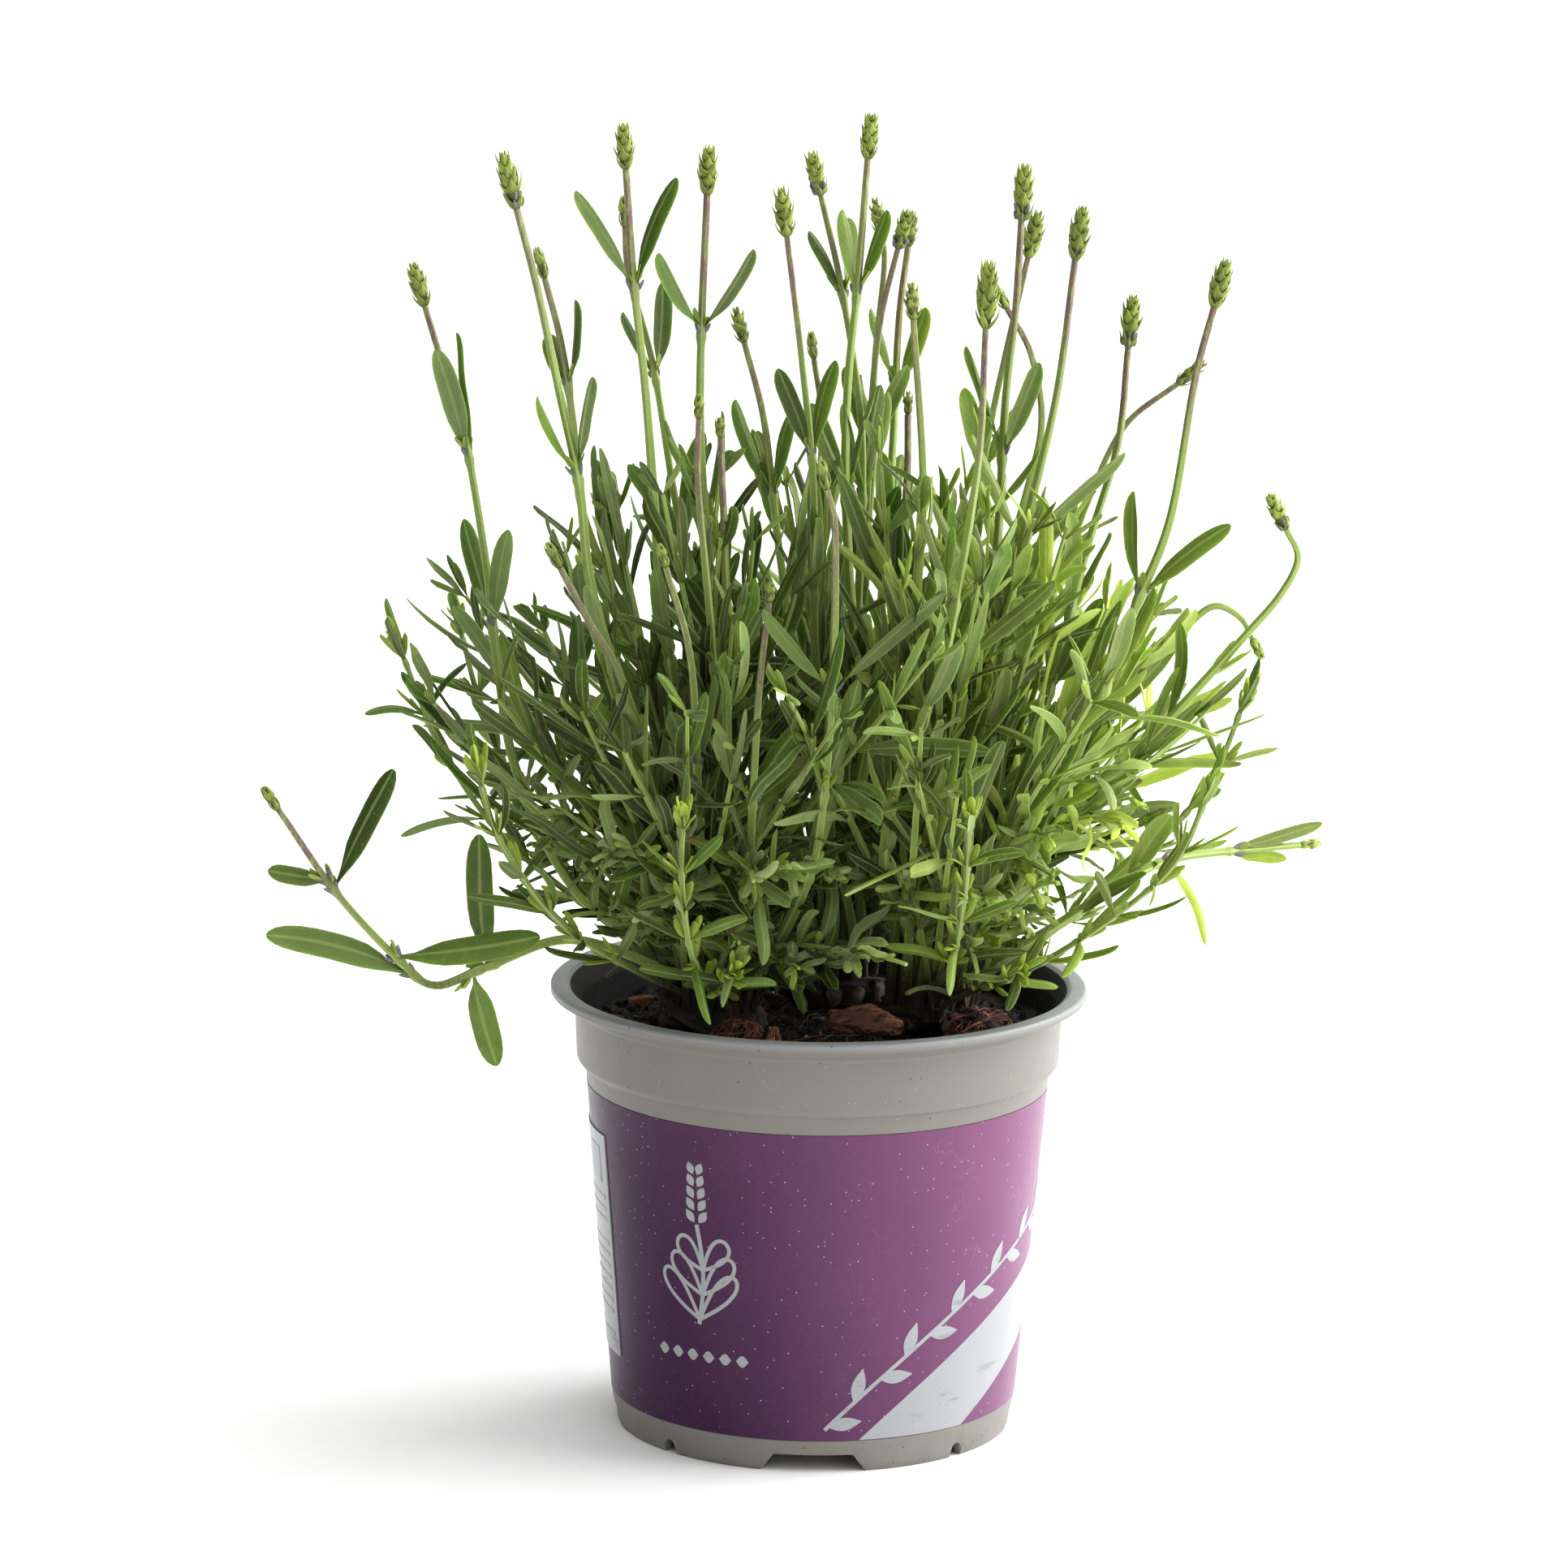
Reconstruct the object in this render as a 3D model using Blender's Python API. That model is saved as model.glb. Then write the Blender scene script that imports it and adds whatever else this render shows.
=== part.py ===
"""Potted lavender: a young lavender in a moulded nursery pot, one named object for each piece.

Sizes are in millimetres and become metres where an object is made. The frame stands on the pot's
axis at the floor, with +Z up, +X to the right of the label's front and -Y towards the viewer.
"""

import itertools
import math
from dataclasses import dataclass, field

import bmesh
import bpy
from mathutils import Matrix, Vector, noise
from mathutils.bvhtree import BVHTree

MM = 0.001

# Pot
RIM_RADIUS = 65.0
POT_HEIGHT = 108.7
FOOT_RADIUS = 48.8
WALL = 1.2
FLANGE_WIDTH = 4.3  # flat top of the rim
LIP_FACE = 2.0  # height of the rim's outer face
LIP_TAPER = 3.3  # height of the cone under it
LIP_EDGE = 0.4
COLLAR_INSET = 5.9  # rim radius less collar radius
COLLAR_DRAFT = 0.5
COLLAR_HEIGHT = 13.0
STEP_IN = 2.2  # collar radius less wall radius at the step
STEP_HEIGHT = 1.6
BASE_RAISE = 6.0  # underside of the base above the floor
BASE_PLATE = 1.4
FOOT_WALL = 2.4
POT_SIDES = 48

# Notches in the foot and drain holes in the base
WIDE_NOTCHES = 4
WIDE_NOTCH_TOP = 19.0
WIDE_NOTCH_MOUTH = 25.5
WIDE_NOTCH_HEIGHT = 4.2
SMALL_NOTCH_WIDTH = 3.2
SMALL_NOTCH_HEIGHT = 3.4
DRAIN_HOLES = 8
DRAIN_RADIUS = 4.0
DRAIN_RING = 33.0

# Printed film, laid in a seat in the wall, and the care panel on it
FILM = 0.3
CLEARANCE = 0.3  # between faces that touch
FILM_BOTTOM = 8.0
FILM_TOP = 84.6
PANEL_MIDDLE = -170.5  # degrees from +X, seen from above
PANEL_WIDTH = 24.0
PANEL_BOTTOM = 19.5
PANEL_TOP = 75.0
PANEL_PIECES = 8

# Soil
HEADSPACE = 10.2
SOIL_ROUGHNESS = 2.4
SOIL_SIDES = 36
SOIL_RINGS = 8

# Woody crowns that the stems grow from
CROWN_RADIUS = 14.0
CROWN_HEIGHT = 5.6
CROWN_TO_WALL = 16.0
CROWN_TURN = {"left": 195.0, "right": -8.0, "back": 82.0}
SLOT_PITCH = 4.8  # between neighbouring stems on a crown
CROWN_EDGE = 2.9  # of crown left outside the outermost stems

# Stems, leaves and spikes
STEM_HALF = 1.05  # half the diagonal of the square stalk
PEDUNCLE_HALF = 0.62
NODE_LENGTH = 1.8  # of stalk that a leaf pair takes
UPRIGHT_START = 5.0  # of stalk that rises straight from the crown
LEAF_THICKNESS = 0.9
LEAF_BASE_WIDTH = 1.5
LONG_LEAF = ((0.18, 0.74), (0.48, 1.0), (0.84, 0.74))  # (share of length, share of width)
SHORT_LEAF = ((0.32, 0.95), (0.80, 0.88))
OPEN_SPIKE = ((0.10, 0.75), (0.30, 1.0), (0.55, 0.92), (0.80, 0.62))
CLOSED_BUD = ((0.15, 0.7), (0.45, 1.0), (0.8, 0.6))
LOWER_PAIR_AT = 0.36
TIP_LENGTH = 2.2  # of a shoot without a flower
STATION_SPACING = 16.0  # between rings of a stalk
SPIKE_SIDES = 8
BUD_RADIUS = 1.7
SPIKE_RADIUS = 2.8
SPIKE_FROM = 9.0  # a spike at least this long is open, and a shorter one is a closed bud

# Where a stem or a leaf finds another in its way, it tries these in turn
ROUTE_NUDGES = [(0.0, 0.0, 0.0)] + [
    (step * math.cos(a), step * math.sin(a), rise)
    for step in (1.5, 3.0, 4.5, 6.0, 8.0)
    for rise in (0.0, 3.0, -3.0, 6.0)
    for a in (math.radians(60 * k + 15) for k in range(6))
]
SLOT_TRIES = 5
LEAF_LEANS = (0, -8, 8, 16, 25, 35)  # degrees
LEAF_YAWS = (0, 14, -14, 28, -28)
LEAF_SHARES = (1.0, 0.85, 0.7, 0.55, 0.4, 0.28, 0.18)

# Space for watering, kept free between the soil and the rim at the front
WATER_GAP_X = (2.0, 22.0)
WATER_GAP_DEPTH = 7.2

soil_top = POT_HEIGHT - HEADSPACE
floor_top = BASE_RAISE + BASE_PLATE
collar_top = POT_HEIGHT - LIP_FACE - LIP_TAPER
collar_bottom = collar_top - COLLAR_HEIGHT
step_bottom = collar_bottom - STEP_HEIGHT
collar_radius = RIM_RADIUS - COLLAR_INSET
wall_top_radius = collar_radius - COLLAR_DRAFT - STEP_IN
crown_top = soil_top + CLEARANCE + CROWN_HEIGHT
stem_start = crown_top + CLEARANCE


@dataclass
class Pair:
    """Two opposite leaves at a share of the stalk's length, or one where a length is zero."""

    at: float
    turn: float  # degrees from +X of the first leaf
    lengths: tuple
    spread: float = 30.0  # degrees from the stalk
    width: float = 4.4
    bend: float = 0.0  # degrees that the blade curls outwards along its length
    rise: float = 0.0  # upward share of the first leaf's direction, where the stalk lies low
    short: bool = False  # the simpler blade of a leafy shoot


@dataclass
class Stem:
    """A stalk from its crown through points (x, y, height above the soil), tip last."""

    crown: str
    route: list
    spike: float
    pairs: list = field(default_factory=list)


def wall_radius(z):
    """Outer radius of the tapered wall at height z, below the step."""
    return FOOT_RADIUS + (wall_top_radius - FOOT_RADIUS) * z / step_bottom


def inner_radius(z):
    """Inner radius of the pot at height z, up to the collar's top."""
    if z <= step_bottom:
        return wall_radius(z) - WALL
    return collar_radius - COLLAR_DRAFT - WALL


# ---------------------------------------------------------------- objects and materials


def material(name, colour, roughness):
    made = bpy.data.materials.get(name) or bpy.data.materials.new(name)
    made.use_nodes = True
    shader = made.node_tree.nodes["Principled BSDF"]
    shader.inputs["Base Color"].default_value = (*colour, 1.0)
    shader.inputs["Roughness"].default_value = roughness
    shader.inputs["Metallic"].default_value = 0.0
    made.diffuse_color = (*colour, 1.0)
    return made


def add_object(name, points, faces, finish=None, smooth=40.0):
    """An object of a closed mesh given in millimetres."""
    mesh = bpy.data.meshes.new(name)
    mesh.from_pydata([Vector(p) * MM for p in points], [], [tuple(f) for f in faces])
    shape = bmesh.new()
    shape.from_mesh(mesh)
    bmesh.ops.recalc_face_normals(shape, faces=shape.faces)
    shape.to_mesh(mesh)
    shape.free()
    if smooth:
        mesh.shade_smooth()
        mesh.set_sharp_from_angle(angle=math.radians(smooth))
    made = bpy.data.objects.new(name, mesh)
    bpy.context.scene.collection.objects.link(made)
    if finish:
        mesh.materials.append(finish)
    return made


def turned(name, profile, closed, finish):
    """A solid of revolution: the profile's (radius, z) points turned by a Screw modifier."""
    mesh = bpy.data.meshes.new(name)
    edges = [(i, i + 1) for i in range(len(profile) - 1)]
    if closed:
        edges.append((len(profile) - 1, 0))
    mesh.from_pydata([Vector((r, 0.0, z)) * MM for r, z in profile], edges, [])
    made = bpy.data.objects.new(name, mesh)
    bpy.context.scene.collection.objects.link(made)
    mesh.materials.append(finish)
    screw = made.modifiers.new("turn", "SCREW")
    screw.steps = POT_SIDES
    screw.render_steps = POT_SIDES
    screw.use_merge_vertices = True
    screw.merge_threshold = 0.00002
    screw.use_smooth_shade = True
    return made


def prism(outline, depth, place):
    """A closed prism: an (x, z) outline carried along y for a depth, then placed."""
    count = len(outline)
    points = [place @ Vector((x, y, z)) for y in (0.0, depth) for x, z in outline]
    faces = [tuple(range(count)), tuple(range(2 * count - 1, count - 1, -1))]
    for i in range(count):
        j = (i + 1) % count
        faces.append((i, i + count, j + count, j))
    return points, faces


def joined(shapes):
    """Several (points, faces) as one."""
    points, faces = [], []
    for some_points, some_faces in shapes:
        start = len(points)
        points += some_points
        faces += [tuple(i + start for i in face) for face in some_faces]
    return points, faces


# ---------------------------------------------------------------- pot


def pot_profile():
    """(radius, z) from the middle of the floor, up the inside, over the rim and down the outside."""
    seat = FILM + CLEARANCE
    lip_bottom = POT_HEIGHT - LIP_FACE
    return [
        (0.0, floor_top),
        (wall_radius(floor_top) - WALL, floor_top),
        (inner_radius(step_bottom), step_bottom),
        (inner_radius(collar_bottom), collar_bottom),
        (collar_radius - WALL, collar_top),
        (RIM_RADIUS - FLANGE_WIDTH - LIP_EDGE, POT_HEIGHT - LIP_EDGE),
        (RIM_RADIUS - FLANGE_WIDTH, POT_HEIGHT),
        (RIM_RADIUS - LIP_EDGE, POT_HEIGHT),
        (RIM_RADIUS, POT_HEIGHT - LIP_EDGE),
        (RIM_RADIUS, lip_bottom),
        (collar_radius + LIP_EDGE, collar_top),
        (collar_radius, collar_top - LIP_EDGE),
        (collar_radius - COLLAR_DRAFT, collar_bottom),
        (wall_top_radius + LIP_EDGE, step_bottom),
        (wall_radius(step_bottom - LIP_EDGE), step_bottom - LIP_EDGE),
        (wall_radius(FILM_TOP + CLEARANCE), FILM_TOP + CLEARANCE),
        (wall_radius(FILM_TOP + CLEARANCE) - seat, FILM_TOP + CLEARANCE),
        (wall_radius(FILM_BOTTOM - CLEARANCE) - seat, FILM_BOTTOM - CLEARANCE),
        (wall_radius(FILM_BOTTOM - CLEARANCE), FILM_BOTTOM - CLEARANCE),
        (FOOT_RADIUS, 0.0),
        (FOOT_RADIUS - FOOT_WALL, 0.0),
        (FOOT_RADIUS - FOOT_WALL, BASE_RAISE),
        (0.0, BASE_RAISE),
    ]


def foot_cutter():
    """Wide notches a quarter turn apart, small ones between them, and the drain holes."""
    shapes = []
    inner = FOOT_RADIUS - 3.0 * FOOT_WALL
    depth = 4.0 * FOOT_WALL
    wide = [
        (-WIDE_NOTCH_MOUTH / 2, -1.0),
        (WIDE_NOTCH_MOUTH / 2, -1.0),
        (WIDE_NOTCH_TOP / 2, WIDE_NOTCH_HEIGHT),
        (-WIDE_NOTCH_TOP / 2, WIDE_NOTCH_HEIGHT),
    ]
    half = SMALL_NOTCH_WIDTH / 2
    arch = [(-half, -1.0), (half, -1.0)]
    for k in range(7):
        a = math.pi * k / 6
        arch.append((half * math.cos(a), SMALL_NOTCH_HEIGHT - half + half * math.sin(a)))
    for k in range(2 * WIDE_NOTCHES):
        turn = Matrix.Rotation(math.pi * k / WIDE_NOTCHES, 4, "Z")
        place = turn @ Matrix.Translation((0.0, -inner - depth, 0.0))
        shapes.append(prism(arch if k % 2 else wide, depth, place))
    hole = []
    for k in range(12):
        a = 2 * math.pi * k / 12
        hole.append((DRAIN_RADIUS * math.cos(a), DRAIN_RADIUS * math.sin(a)))
    downwards = Matrix.Rotation(math.radians(-90.0), 4, "X")
    for k in range(DRAIN_HOLES + 1):
        ring = DRAIN_RING if k else 0.0
        a = 2 * math.pi * (k - 0.5) / DRAIN_HOLES
        centre = Vector((ring * math.cos(a), ring * math.sin(a), floor_top + 1.0))
        shapes.append(prism(hole, BASE_PLATE + 2.0, Matrix.Translation(centre) @ downwards))
    return joined(shapes)


def make_pot():
    plastic = material("pot_grey", (0.30, 0.28, 0.24), 0.45)
    pot = turned("pot", pot_profile(), False, plastic)
    cutter = add_object("pot_cutter", *foot_cutter(), smooth=None)
    cutter.hide_render = True
    cutter.display_type = "WIRE"
    cut = pot.modifiers.new("notches", "BOOLEAN")
    cut.operation = "DIFFERENCE"
    cut.solver = "EXACT"
    cut.object = cutter
    return pot


def make_label():
    """The printed film: a thin sleeve in the wall's seat, flush with the wall."""
    profile = [
        (wall_radius(FILM_TOP), FILM_TOP),
        (wall_radius(FILM_BOTTOM), FILM_BOTTOM),
        (wall_radius(FILM_BOTTOM) - FILM, FILM_BOTTOM),
        (wall_radius(FILM_TOP) - FILM, FILM_TOP),
    ]
    return turned("pot_label", profile, True, material("label_purple", (0.20, 0.05, 0.19), 0.35))


def make_care_panel():
    """A thin curved panel on the film."""
    half = math.degrees(PANEL_WIDTH / 2 / wall_radius((PANEL_BOTTOM + PANEL_TOP) / 2))
    points = []
    for k in range(PANEL_PIECES + 1):
        a = math.radians(PANEL_MIDDLE - half + 2 * half * k / PANEL_PIECES)
        for z, out in ((PANEL_BOTTOM, 0), (PANEL_TOP, 0), (PANEL_TOP, 1), (PANEL_BOTTOM, 1)):
            r = wall_radius(z) + CLEARANCE + out * FILM
            points.append((r * math.cos(a), r * math.sin(a), z))
    faces = [(0, 1, 2, 3), tuple(len(points) - 1 - i for i in range(4))]
    for k in range(PANEL_PIECES):
        for i in range(4):
            j = (i + 1) % 4
            faces.append((4 * k + i, 4 * k + j, 4 * k + 4 + j, 4 * k + 4 + i))
    return add_object("care_panel", points, faces, material("panel_white", (0.75, 0.75, 0.74), 0.4))


# ---------------------------------------------------------------- soil, crowns, roots and chips


def ring_solid(rings, bottom, top):
    """A closed solid of rings of points, each as long as the next, with its two end points."""
    sides = len(rings[0])
    points = [p for ring in rings for p in ring] + [bottom, top]
    faces = []
    for k in range(sides):
        j = (k + 1) % sides
        faces.append((len(points) - 2, j, k))
        last = (len(rings) - 1) * sides
        faces.append((last + k, last + j, len(points) - 1))
        for i in range(len(rings) - 1):
            a = i * sides
            faces.append((a + k, a + j, a + sides + j, a + sides + k))
    return points, faces


def circle(radius, z, sides, centre=(0.0, 0.0)):
    made = []
    for k in range(sides):
        a = 2 * math.pi * k / sides
        made.append(Vector((centre[0] + radius * math.cos(a), centre[1] + radius * math.sin(a), z)))
    return made


def make_soil():
    """Soil that follows the pot's inside, with a rough top that stays under soil_top."""
    bottom = floor_top + CLEARANCE
    soil_radius = inner_radius(soil_top) - CLEARANCE
    shoulder = soil_top - SOIL_ROUGHNESS
    rings = [
        circle(wall_radius(bottom) - WALL - CLEARANCE, bottom, SOIL_SIDES),
        circle(wall_radius(step_bottom) - WALL - CLEARANCE, step_bottom, SOIL_SIDES),
        circle(soil_radius, collar_bottom + CLEARANCE, SOIL_SIDES),
        circle(soil_radius, shoulder, SOIL_SIDES),
    ]
    for i in range(1, SOIL_RINGS):
        flat = circle(soil_radius * (1.0 - i / SOIL_RINGS), soil_top, SOIL_SIDES)
        for p in flat:
            grain = noise.noise(Vector((p.x * 0.09, p.y * 0.09, 0.5)))
            fine = noise.noise(Vector((p.x * 0.31, p.y * 0.31, 3.0)))
            p.z = soil_top - SOIL_ROUGHNESS * min(1.0, abs(0.7 * grain + 0.5 * fine))
        rings.append(flat)
    top = Vector((0.0, 0.0, soil_top - 0.3 * SOIL_ROUGHNESS))
    points, faces = ring_solid(rings, Vector((0.0, 0.0, bottom)), top)
    return add_object("potting_soil", points, faces, material("peat", (0.018, 0.013, 0.011), 0.9))


def lump(name, centre, radii, height, seed, finish, sides=16):
    """A knobbly mass that stands on the soil: flat below, rounded above."""
    rings = []
    for share, lift in ((0.90, 0.0), (1.0, 0.30), (0.86, 0.72), (0.52, 0.94)):
        ring = []
        for k in range(sides):
            a = 2 * math.pi * k / sides
            knob = noise.noise(Vector((2.2 * math.cos(a), 2.2 * math.sin(a), seed + lift)))
            r = share * (0.93 + 0.14 * knob)
            x = centre[0] + radii[0] * r * math.cos(a)
            y = centre[1] + radii[1] * r * math.sin(a)
            ring.append(Vector((x, y, soil_top + CLEARANCE + height * lift)))
        rings.append(ring)
    low = Vector((centre[0], centre[1], soil_top + CLEARANCE))
    high = Vector((centre[0], centre[1], soil_top + CLEARANCE + height))
    points, faces = ring_solid(rings, low, high)
    return add_object(name, points, faces, finish)


def crown_centre(side):
    ring = inner_radius(soil_top) - CLEARANCE - CROWN_RADIUS - CROWN_TO_WALL
    a = math.radians(CROWN_TURN[side])
    return Vector((ring * math.cos(a), ring * math.sin(a), 0.0))


def make_crown(side, seed):
    """A low woody crown with a flat top for the stems."""
    wood = material("crown_wood", (0.16, 0.09, 0.05), 0.85)
    centre = crown_centre(side)
    rings = []
    for share, z in ((1.0, soil_top + CLEARANCE), (0.97, crown_top - 1.6), (0.86, crown_top)):
        ring = []
        for p in circle(CROWN_RADIUS * share, z, 18, centre):
            knob = noise.noise(Vector((p.x * 0.2, p.y * 0.2, seed)))
            out = (p - centre) * (0.96 + 0.08 * knob)
            ring.append(Vector((centre.x + out.x, centre.y + out.y, z)))
        rings.append(ring)
    low = Vector((centre.x, centre.y, soil_top + CLEARANCE))
    high = Vector((centre.x, centre.y, crown_top))
    points, faces = ring_solid(rings, low, high)
    return add_object("crown_" + side, points, faces, wood)


def chip(name, size, place, turn, finish):
    """A chip of bark: a box with its long edges cut off, resting on the soil."""
    x, y, z = (s / 2 for s in size)
    cut = 0.35 * z
    outline = [(-x, -z + cut), (-x + cut, -z), (x - 2 * cut, -z), (x, 0.0), (x - cut, z), (-x, z - cut)]
    points, faces = prism(outline, 2 * y, Matrix.Translation((0.0, -y, 0.0)))
    tilt = Matrix.Rotation(math.radians(turn), 4, "Z") @ Matrix.Rotation(math.radians(9.0), 4, "Y")
    points = [tilt @ p for p in points]
    lowest = min(p.z for p in points)
    shift = Vector((place[0], place[1], soil_top + CLEARANCE - lowest))
    return add_object(name, [p + shift for p in points], faces, finish)


# ---------------------------------------------------------------- plant


class Thicket:
    """The solids placed so far. It tells whether a new one keeps clear of them."""

    def __init__(self):
        self.shapes = {}
        self.tree = None

    def put(self, name, points, faces):
        self.shapes[name] = (points, faces)
        self.tree = None

    def look_from(self, name):
        """Reads every solid except the named one."""
        points, faces = joined(s for n, s in self.shapes.items() if n != name)
        self.tree = BVHTree.FromPolygons(points, faces)

    def clears(self, points, faces):
        return not self.tree.overlap(BVHTree.FromPolygons(points, faces))


def smooth_route(points, spacing):
    """Points about a spacing apart on a Catmull-Rom curve through the given points."""
    ends = [2 * points[0] - points[1], *points, 2 * points[-1] - points[-2]]
    made = []
    for a, b, c, d in zip(ends, ends[1:], ends[2:], ends[3:]):
        count = max(1, round((c - b).length / spacing))
        for k in range(count):
            t = k / count
            made.append(
                0.5 * (2 * b + (c - a) * t + (2 * a - 5 * b + 4 * c - d) * t**2
                       + (3 * b - a - 3 * c + d) * t**3)
            )
    made.append(points[-1])
    return made


class Sprig:
    """One stalk with its leaves and its spike, built as a single skin of quads.

    The stalk is a square tube. At a leaf pair two opposite side faces are drawn out into blades, so
    that stalk and leaves are one closed body.
    """

    def __init__(self, route, pairs, spike):
        self.points = []
        self.faces = []
        self.openings = []  # (four corner indices, the stalk's direction, leaf length, pair)
        self.route = route
        self.spike = spike
        self.stations = self.cut_route(pairs)

    def cut_route(self, pairs):
        """(distance along the route, pair or None), rising, with two stations for each pair."""
        lengths = [0.0]
        for a, b in zip(self.route, self.route[1:]):
            lengths.append(lengths[-1] + (b - a).length)
        self.lengths = lengths
        total = lengths[-1]
        marks = []
        for pair in sorted(pairs, key=lambda p: p.at):
            at = min(pair.at * total, total - 2 * NODE_LENGTH)
            if marks and at < marks[-1][0] + 2.2 * NODE_LENGTH:
                at = marks[-1][0] + 2.2 * NODE_LENGTH
            marks.append((at, pair))
        stations = [(0.0, None), (UPRIGHT_START, None)]
        for at, pair in [*marks, (total, None)]:
            start = stations[-1][0]
            gap = at - start
            steps = max(1, round(gap / STATION_SPACING))
            for k in range(1, steps):
                stations.append((start + gap * k / steps, None))
            stations.append((at, pair))
            if pair:
                stations.append((at + NODE_LENGTH, None))
        return stations

    def at(self, distance):
        """(point, direction) at a distance along the route."""
        for i in range(len(self.route) - 1):
            if distance <= self.lengths[i + 1] or i == len(self.route) - 2:
                step = self.lengths[i + 1] - self.lengths[i]
                share = (distance - self.lengths[i]) / step
                ahead = (self.route[i + 1] - self.route[i]).normalized()
                return self.route[i].lerp(self.route[i + 1], share), ahead

    def half(self, distance):
        share = distance / self.lengths[-1]
        if self.spike:
            return STEM_HALF + (PEDUNCLE_HALF - STEM_HALF) * share
        return 0.8 * STEM_HALF + (0.8 * PEDUNCLE_HALF - 0.8 * STEM_HALF) * share

    def ring_at(self, distance, side, half):
        """Four corners of the stalk, with its direction and its two sides there."""
        point, direction = self.at(distance)
        side = (side - direction * side.dot(direction)).normalized()
        across = direction.cross(side)
        corners = []
        for k in range(4):
            a = math.radians(45 + 90 * k)
            corners.append(point + half * (side * math.cos(a) + across * math.sin(a)))
        return corners, direction, side, across

    def stalk_skin(self, margin):
        """The stalk and the length of its spike, thicker by a margin, to test for room."""
        points, faces = [], []
        side = Vector((1.0, 0.0, 0.0))
        for distance, _ in self.stations:
            corners, direction, side, _ = self.ring_at(distance, side, self.half(distance) + margin)
            points += corners
        points += [p + direction * self.spike for p in corners]
        for i in range(0, len(points) - 4, 4):
            for k in range(4):
                j = (k + 1) % 4
                faces.append((i + k, i + j, i + 4 + j, i + 4 + k))
        return points, faces

    def build_stalk(self):
        side = Vector((1.0, 0.0, 0.0))
        rings = []
        for distance, _ in self.stations:
            start = len(self.points)
            corners, direction, side, across = self.ring_at(distance, side, self.half(distance))
            self.points += corners
            rings.append((start, direction, side, across))
        self.rings = rings
        self.faces.append((3, 2, 1, 0))
        for i in range(len(rings) - 1):
            low, direction, side, across = rings[i]
            high = rings[i + 1][0]
            pair = self.stations[i][1]
            chosen = self.pair_sides(pair, side, across) if pair else {}
            for k in range(4):
                j = (k + 1) % 4
                quad = (low + k, low + j, high + j, high + k)
                if k in chosen:
                    self.openings.append((quad, direction, chosen[k], pair))
                else:
                    self.faces.append(quad)

    def pair_sides(self, pair, side, across):
        """The two side faces that the pair's leaves grow from: face k looks along side and across
        turned by 90 (k + 1) degrees."""
        looks = {}
        for k in range(4):
            a = math.radians(90 + 90 * k)
            looks[k] = side * math.cos(a) + across * math.sin(a)
        turn = math.radians(pair.turn)
        wanted = Vector((math.cos(turn), math.sin(turn), pair.rise))
        first = max(looks, key=lambda k: looks[k].dot(wanted))
        made = {}
        if pair.lengths[0]:
            made[first] = pair.lengths[0]
        if pair.lengths[1]:
            made[(first + 2) % 4] = pair.lengths[1]
        return made

    def finish_tip(self):
        """A spike of staggered whorls, or a small pointed tip."""
        start, direction, side, across = self.rings[-1]
        tip = self.points[start : start + 4]
        centre = sum(tip, Vector()) / 4
        if not self.spike:
            self.points.append(centre + direction * TIP_LENGTH)
            for k in range(4):
                self.faces.append((start + k, start + (k + 1) % 4, len(self.points) - 1))
            return
        opened = self.spike >= SPIKE_FROM
        radius = SPIKE_RADIUS if opened else BUD_RADIUS
        shares = OPEN_SPIKE if opened else CLOSED_BUD
        rings = []
        for n, (along, wide) in enumerate(shares):
            ring = len(self.points)
            for k in range(SPIKE_SIDES):
                a = math.radians(45 + 360 * k / SPIKE_SIDES)
                bump = 1.0 if (k + n) % 2 else 0.78
                spot = (side * math.cos(a) + across * math.sin(a)) * radius * wide * bump
                self.points.append(centre + direction * self.spike * along + spot)
            rings.append(ring)
        low = rings[0]
        for k in range(4):
            j = (k + 1) % 4
            a, b, c = low + 2 * k, low + 2 * k + 1, low + (2 * k + 2) % SPIKE_SIDES
            self.faces += [(start + k, b, a), (start + k, start + j, b), (start + j, c, b)]
        for lower, upper in zip(rings, rings[1:]):
            for k in range(SPIKE_SIDES):
                j = (k + 1) % SPIKE_SIDES
                self.faces.append((lower + k, lower + j, upper + j, upper + k))
        self.points.append(centre + direction * self.spike)
        for k in range(SPIKE_SIDES):
            self.faces.append((rings[-1] + k, rings[-1] + (k + 1) % SPIKE_SIDES, len(self.points) - 1))

    def blade(self, opening, pitch, yaw, share, swell):
        """Sections of a leaf: each has four corners, in the order of the opening's corners."""
        quad, direction, length, pair = opening
        corners = [self.points[i] for i in quad]
        centre = sum(corners, Vector()) / 4
        out = (corners[1] - corners[0]).cross(corners[3] - corners[0]).normalized()
        lateral = (corners[1] - corners[0]).normalized()
        out = Matrix.Rotation(math.radians(yaw), 3, direction) @ out
        lateral = Matrix.Rotation(math.radians(yaw), 3, direction) @ lateral
        sections = []
        spot = centre
        past = 0.0
        for along, wide in (*(SHORT_LEAF if pair.short else LONG_LEAF), (1.0, 0.0)):
            angle = math.radians(pitch + pair.bend * along)
            heading = direction * math.cos(angle) + out * math.sin(angle)
            spot = spot + heading * (along - past) * length * share
            past = along
            up = heading.cross(lateral) * -1.0
            if up.dot(direction) < 0:
                up = -up
            half_wide = (pair.width * wide + swell) / 2
            half_thick = (LEAF_THICKNESS * (0.6 + 0.4 * wide) + swell) / 2
            if wide == 0.0:
                sections.append([spot + heading * swell] * 4)
            else:
                sections.append([
                    spot - lateral * half_wide - up * half_thick,
                    spot + lateral * half_wide - up * half_thick,
                    spot + lateral * half_wide + up * half_thick,
                    spot - lateral * half_wide + up * half_thick,
                ])
        return sections

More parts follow.
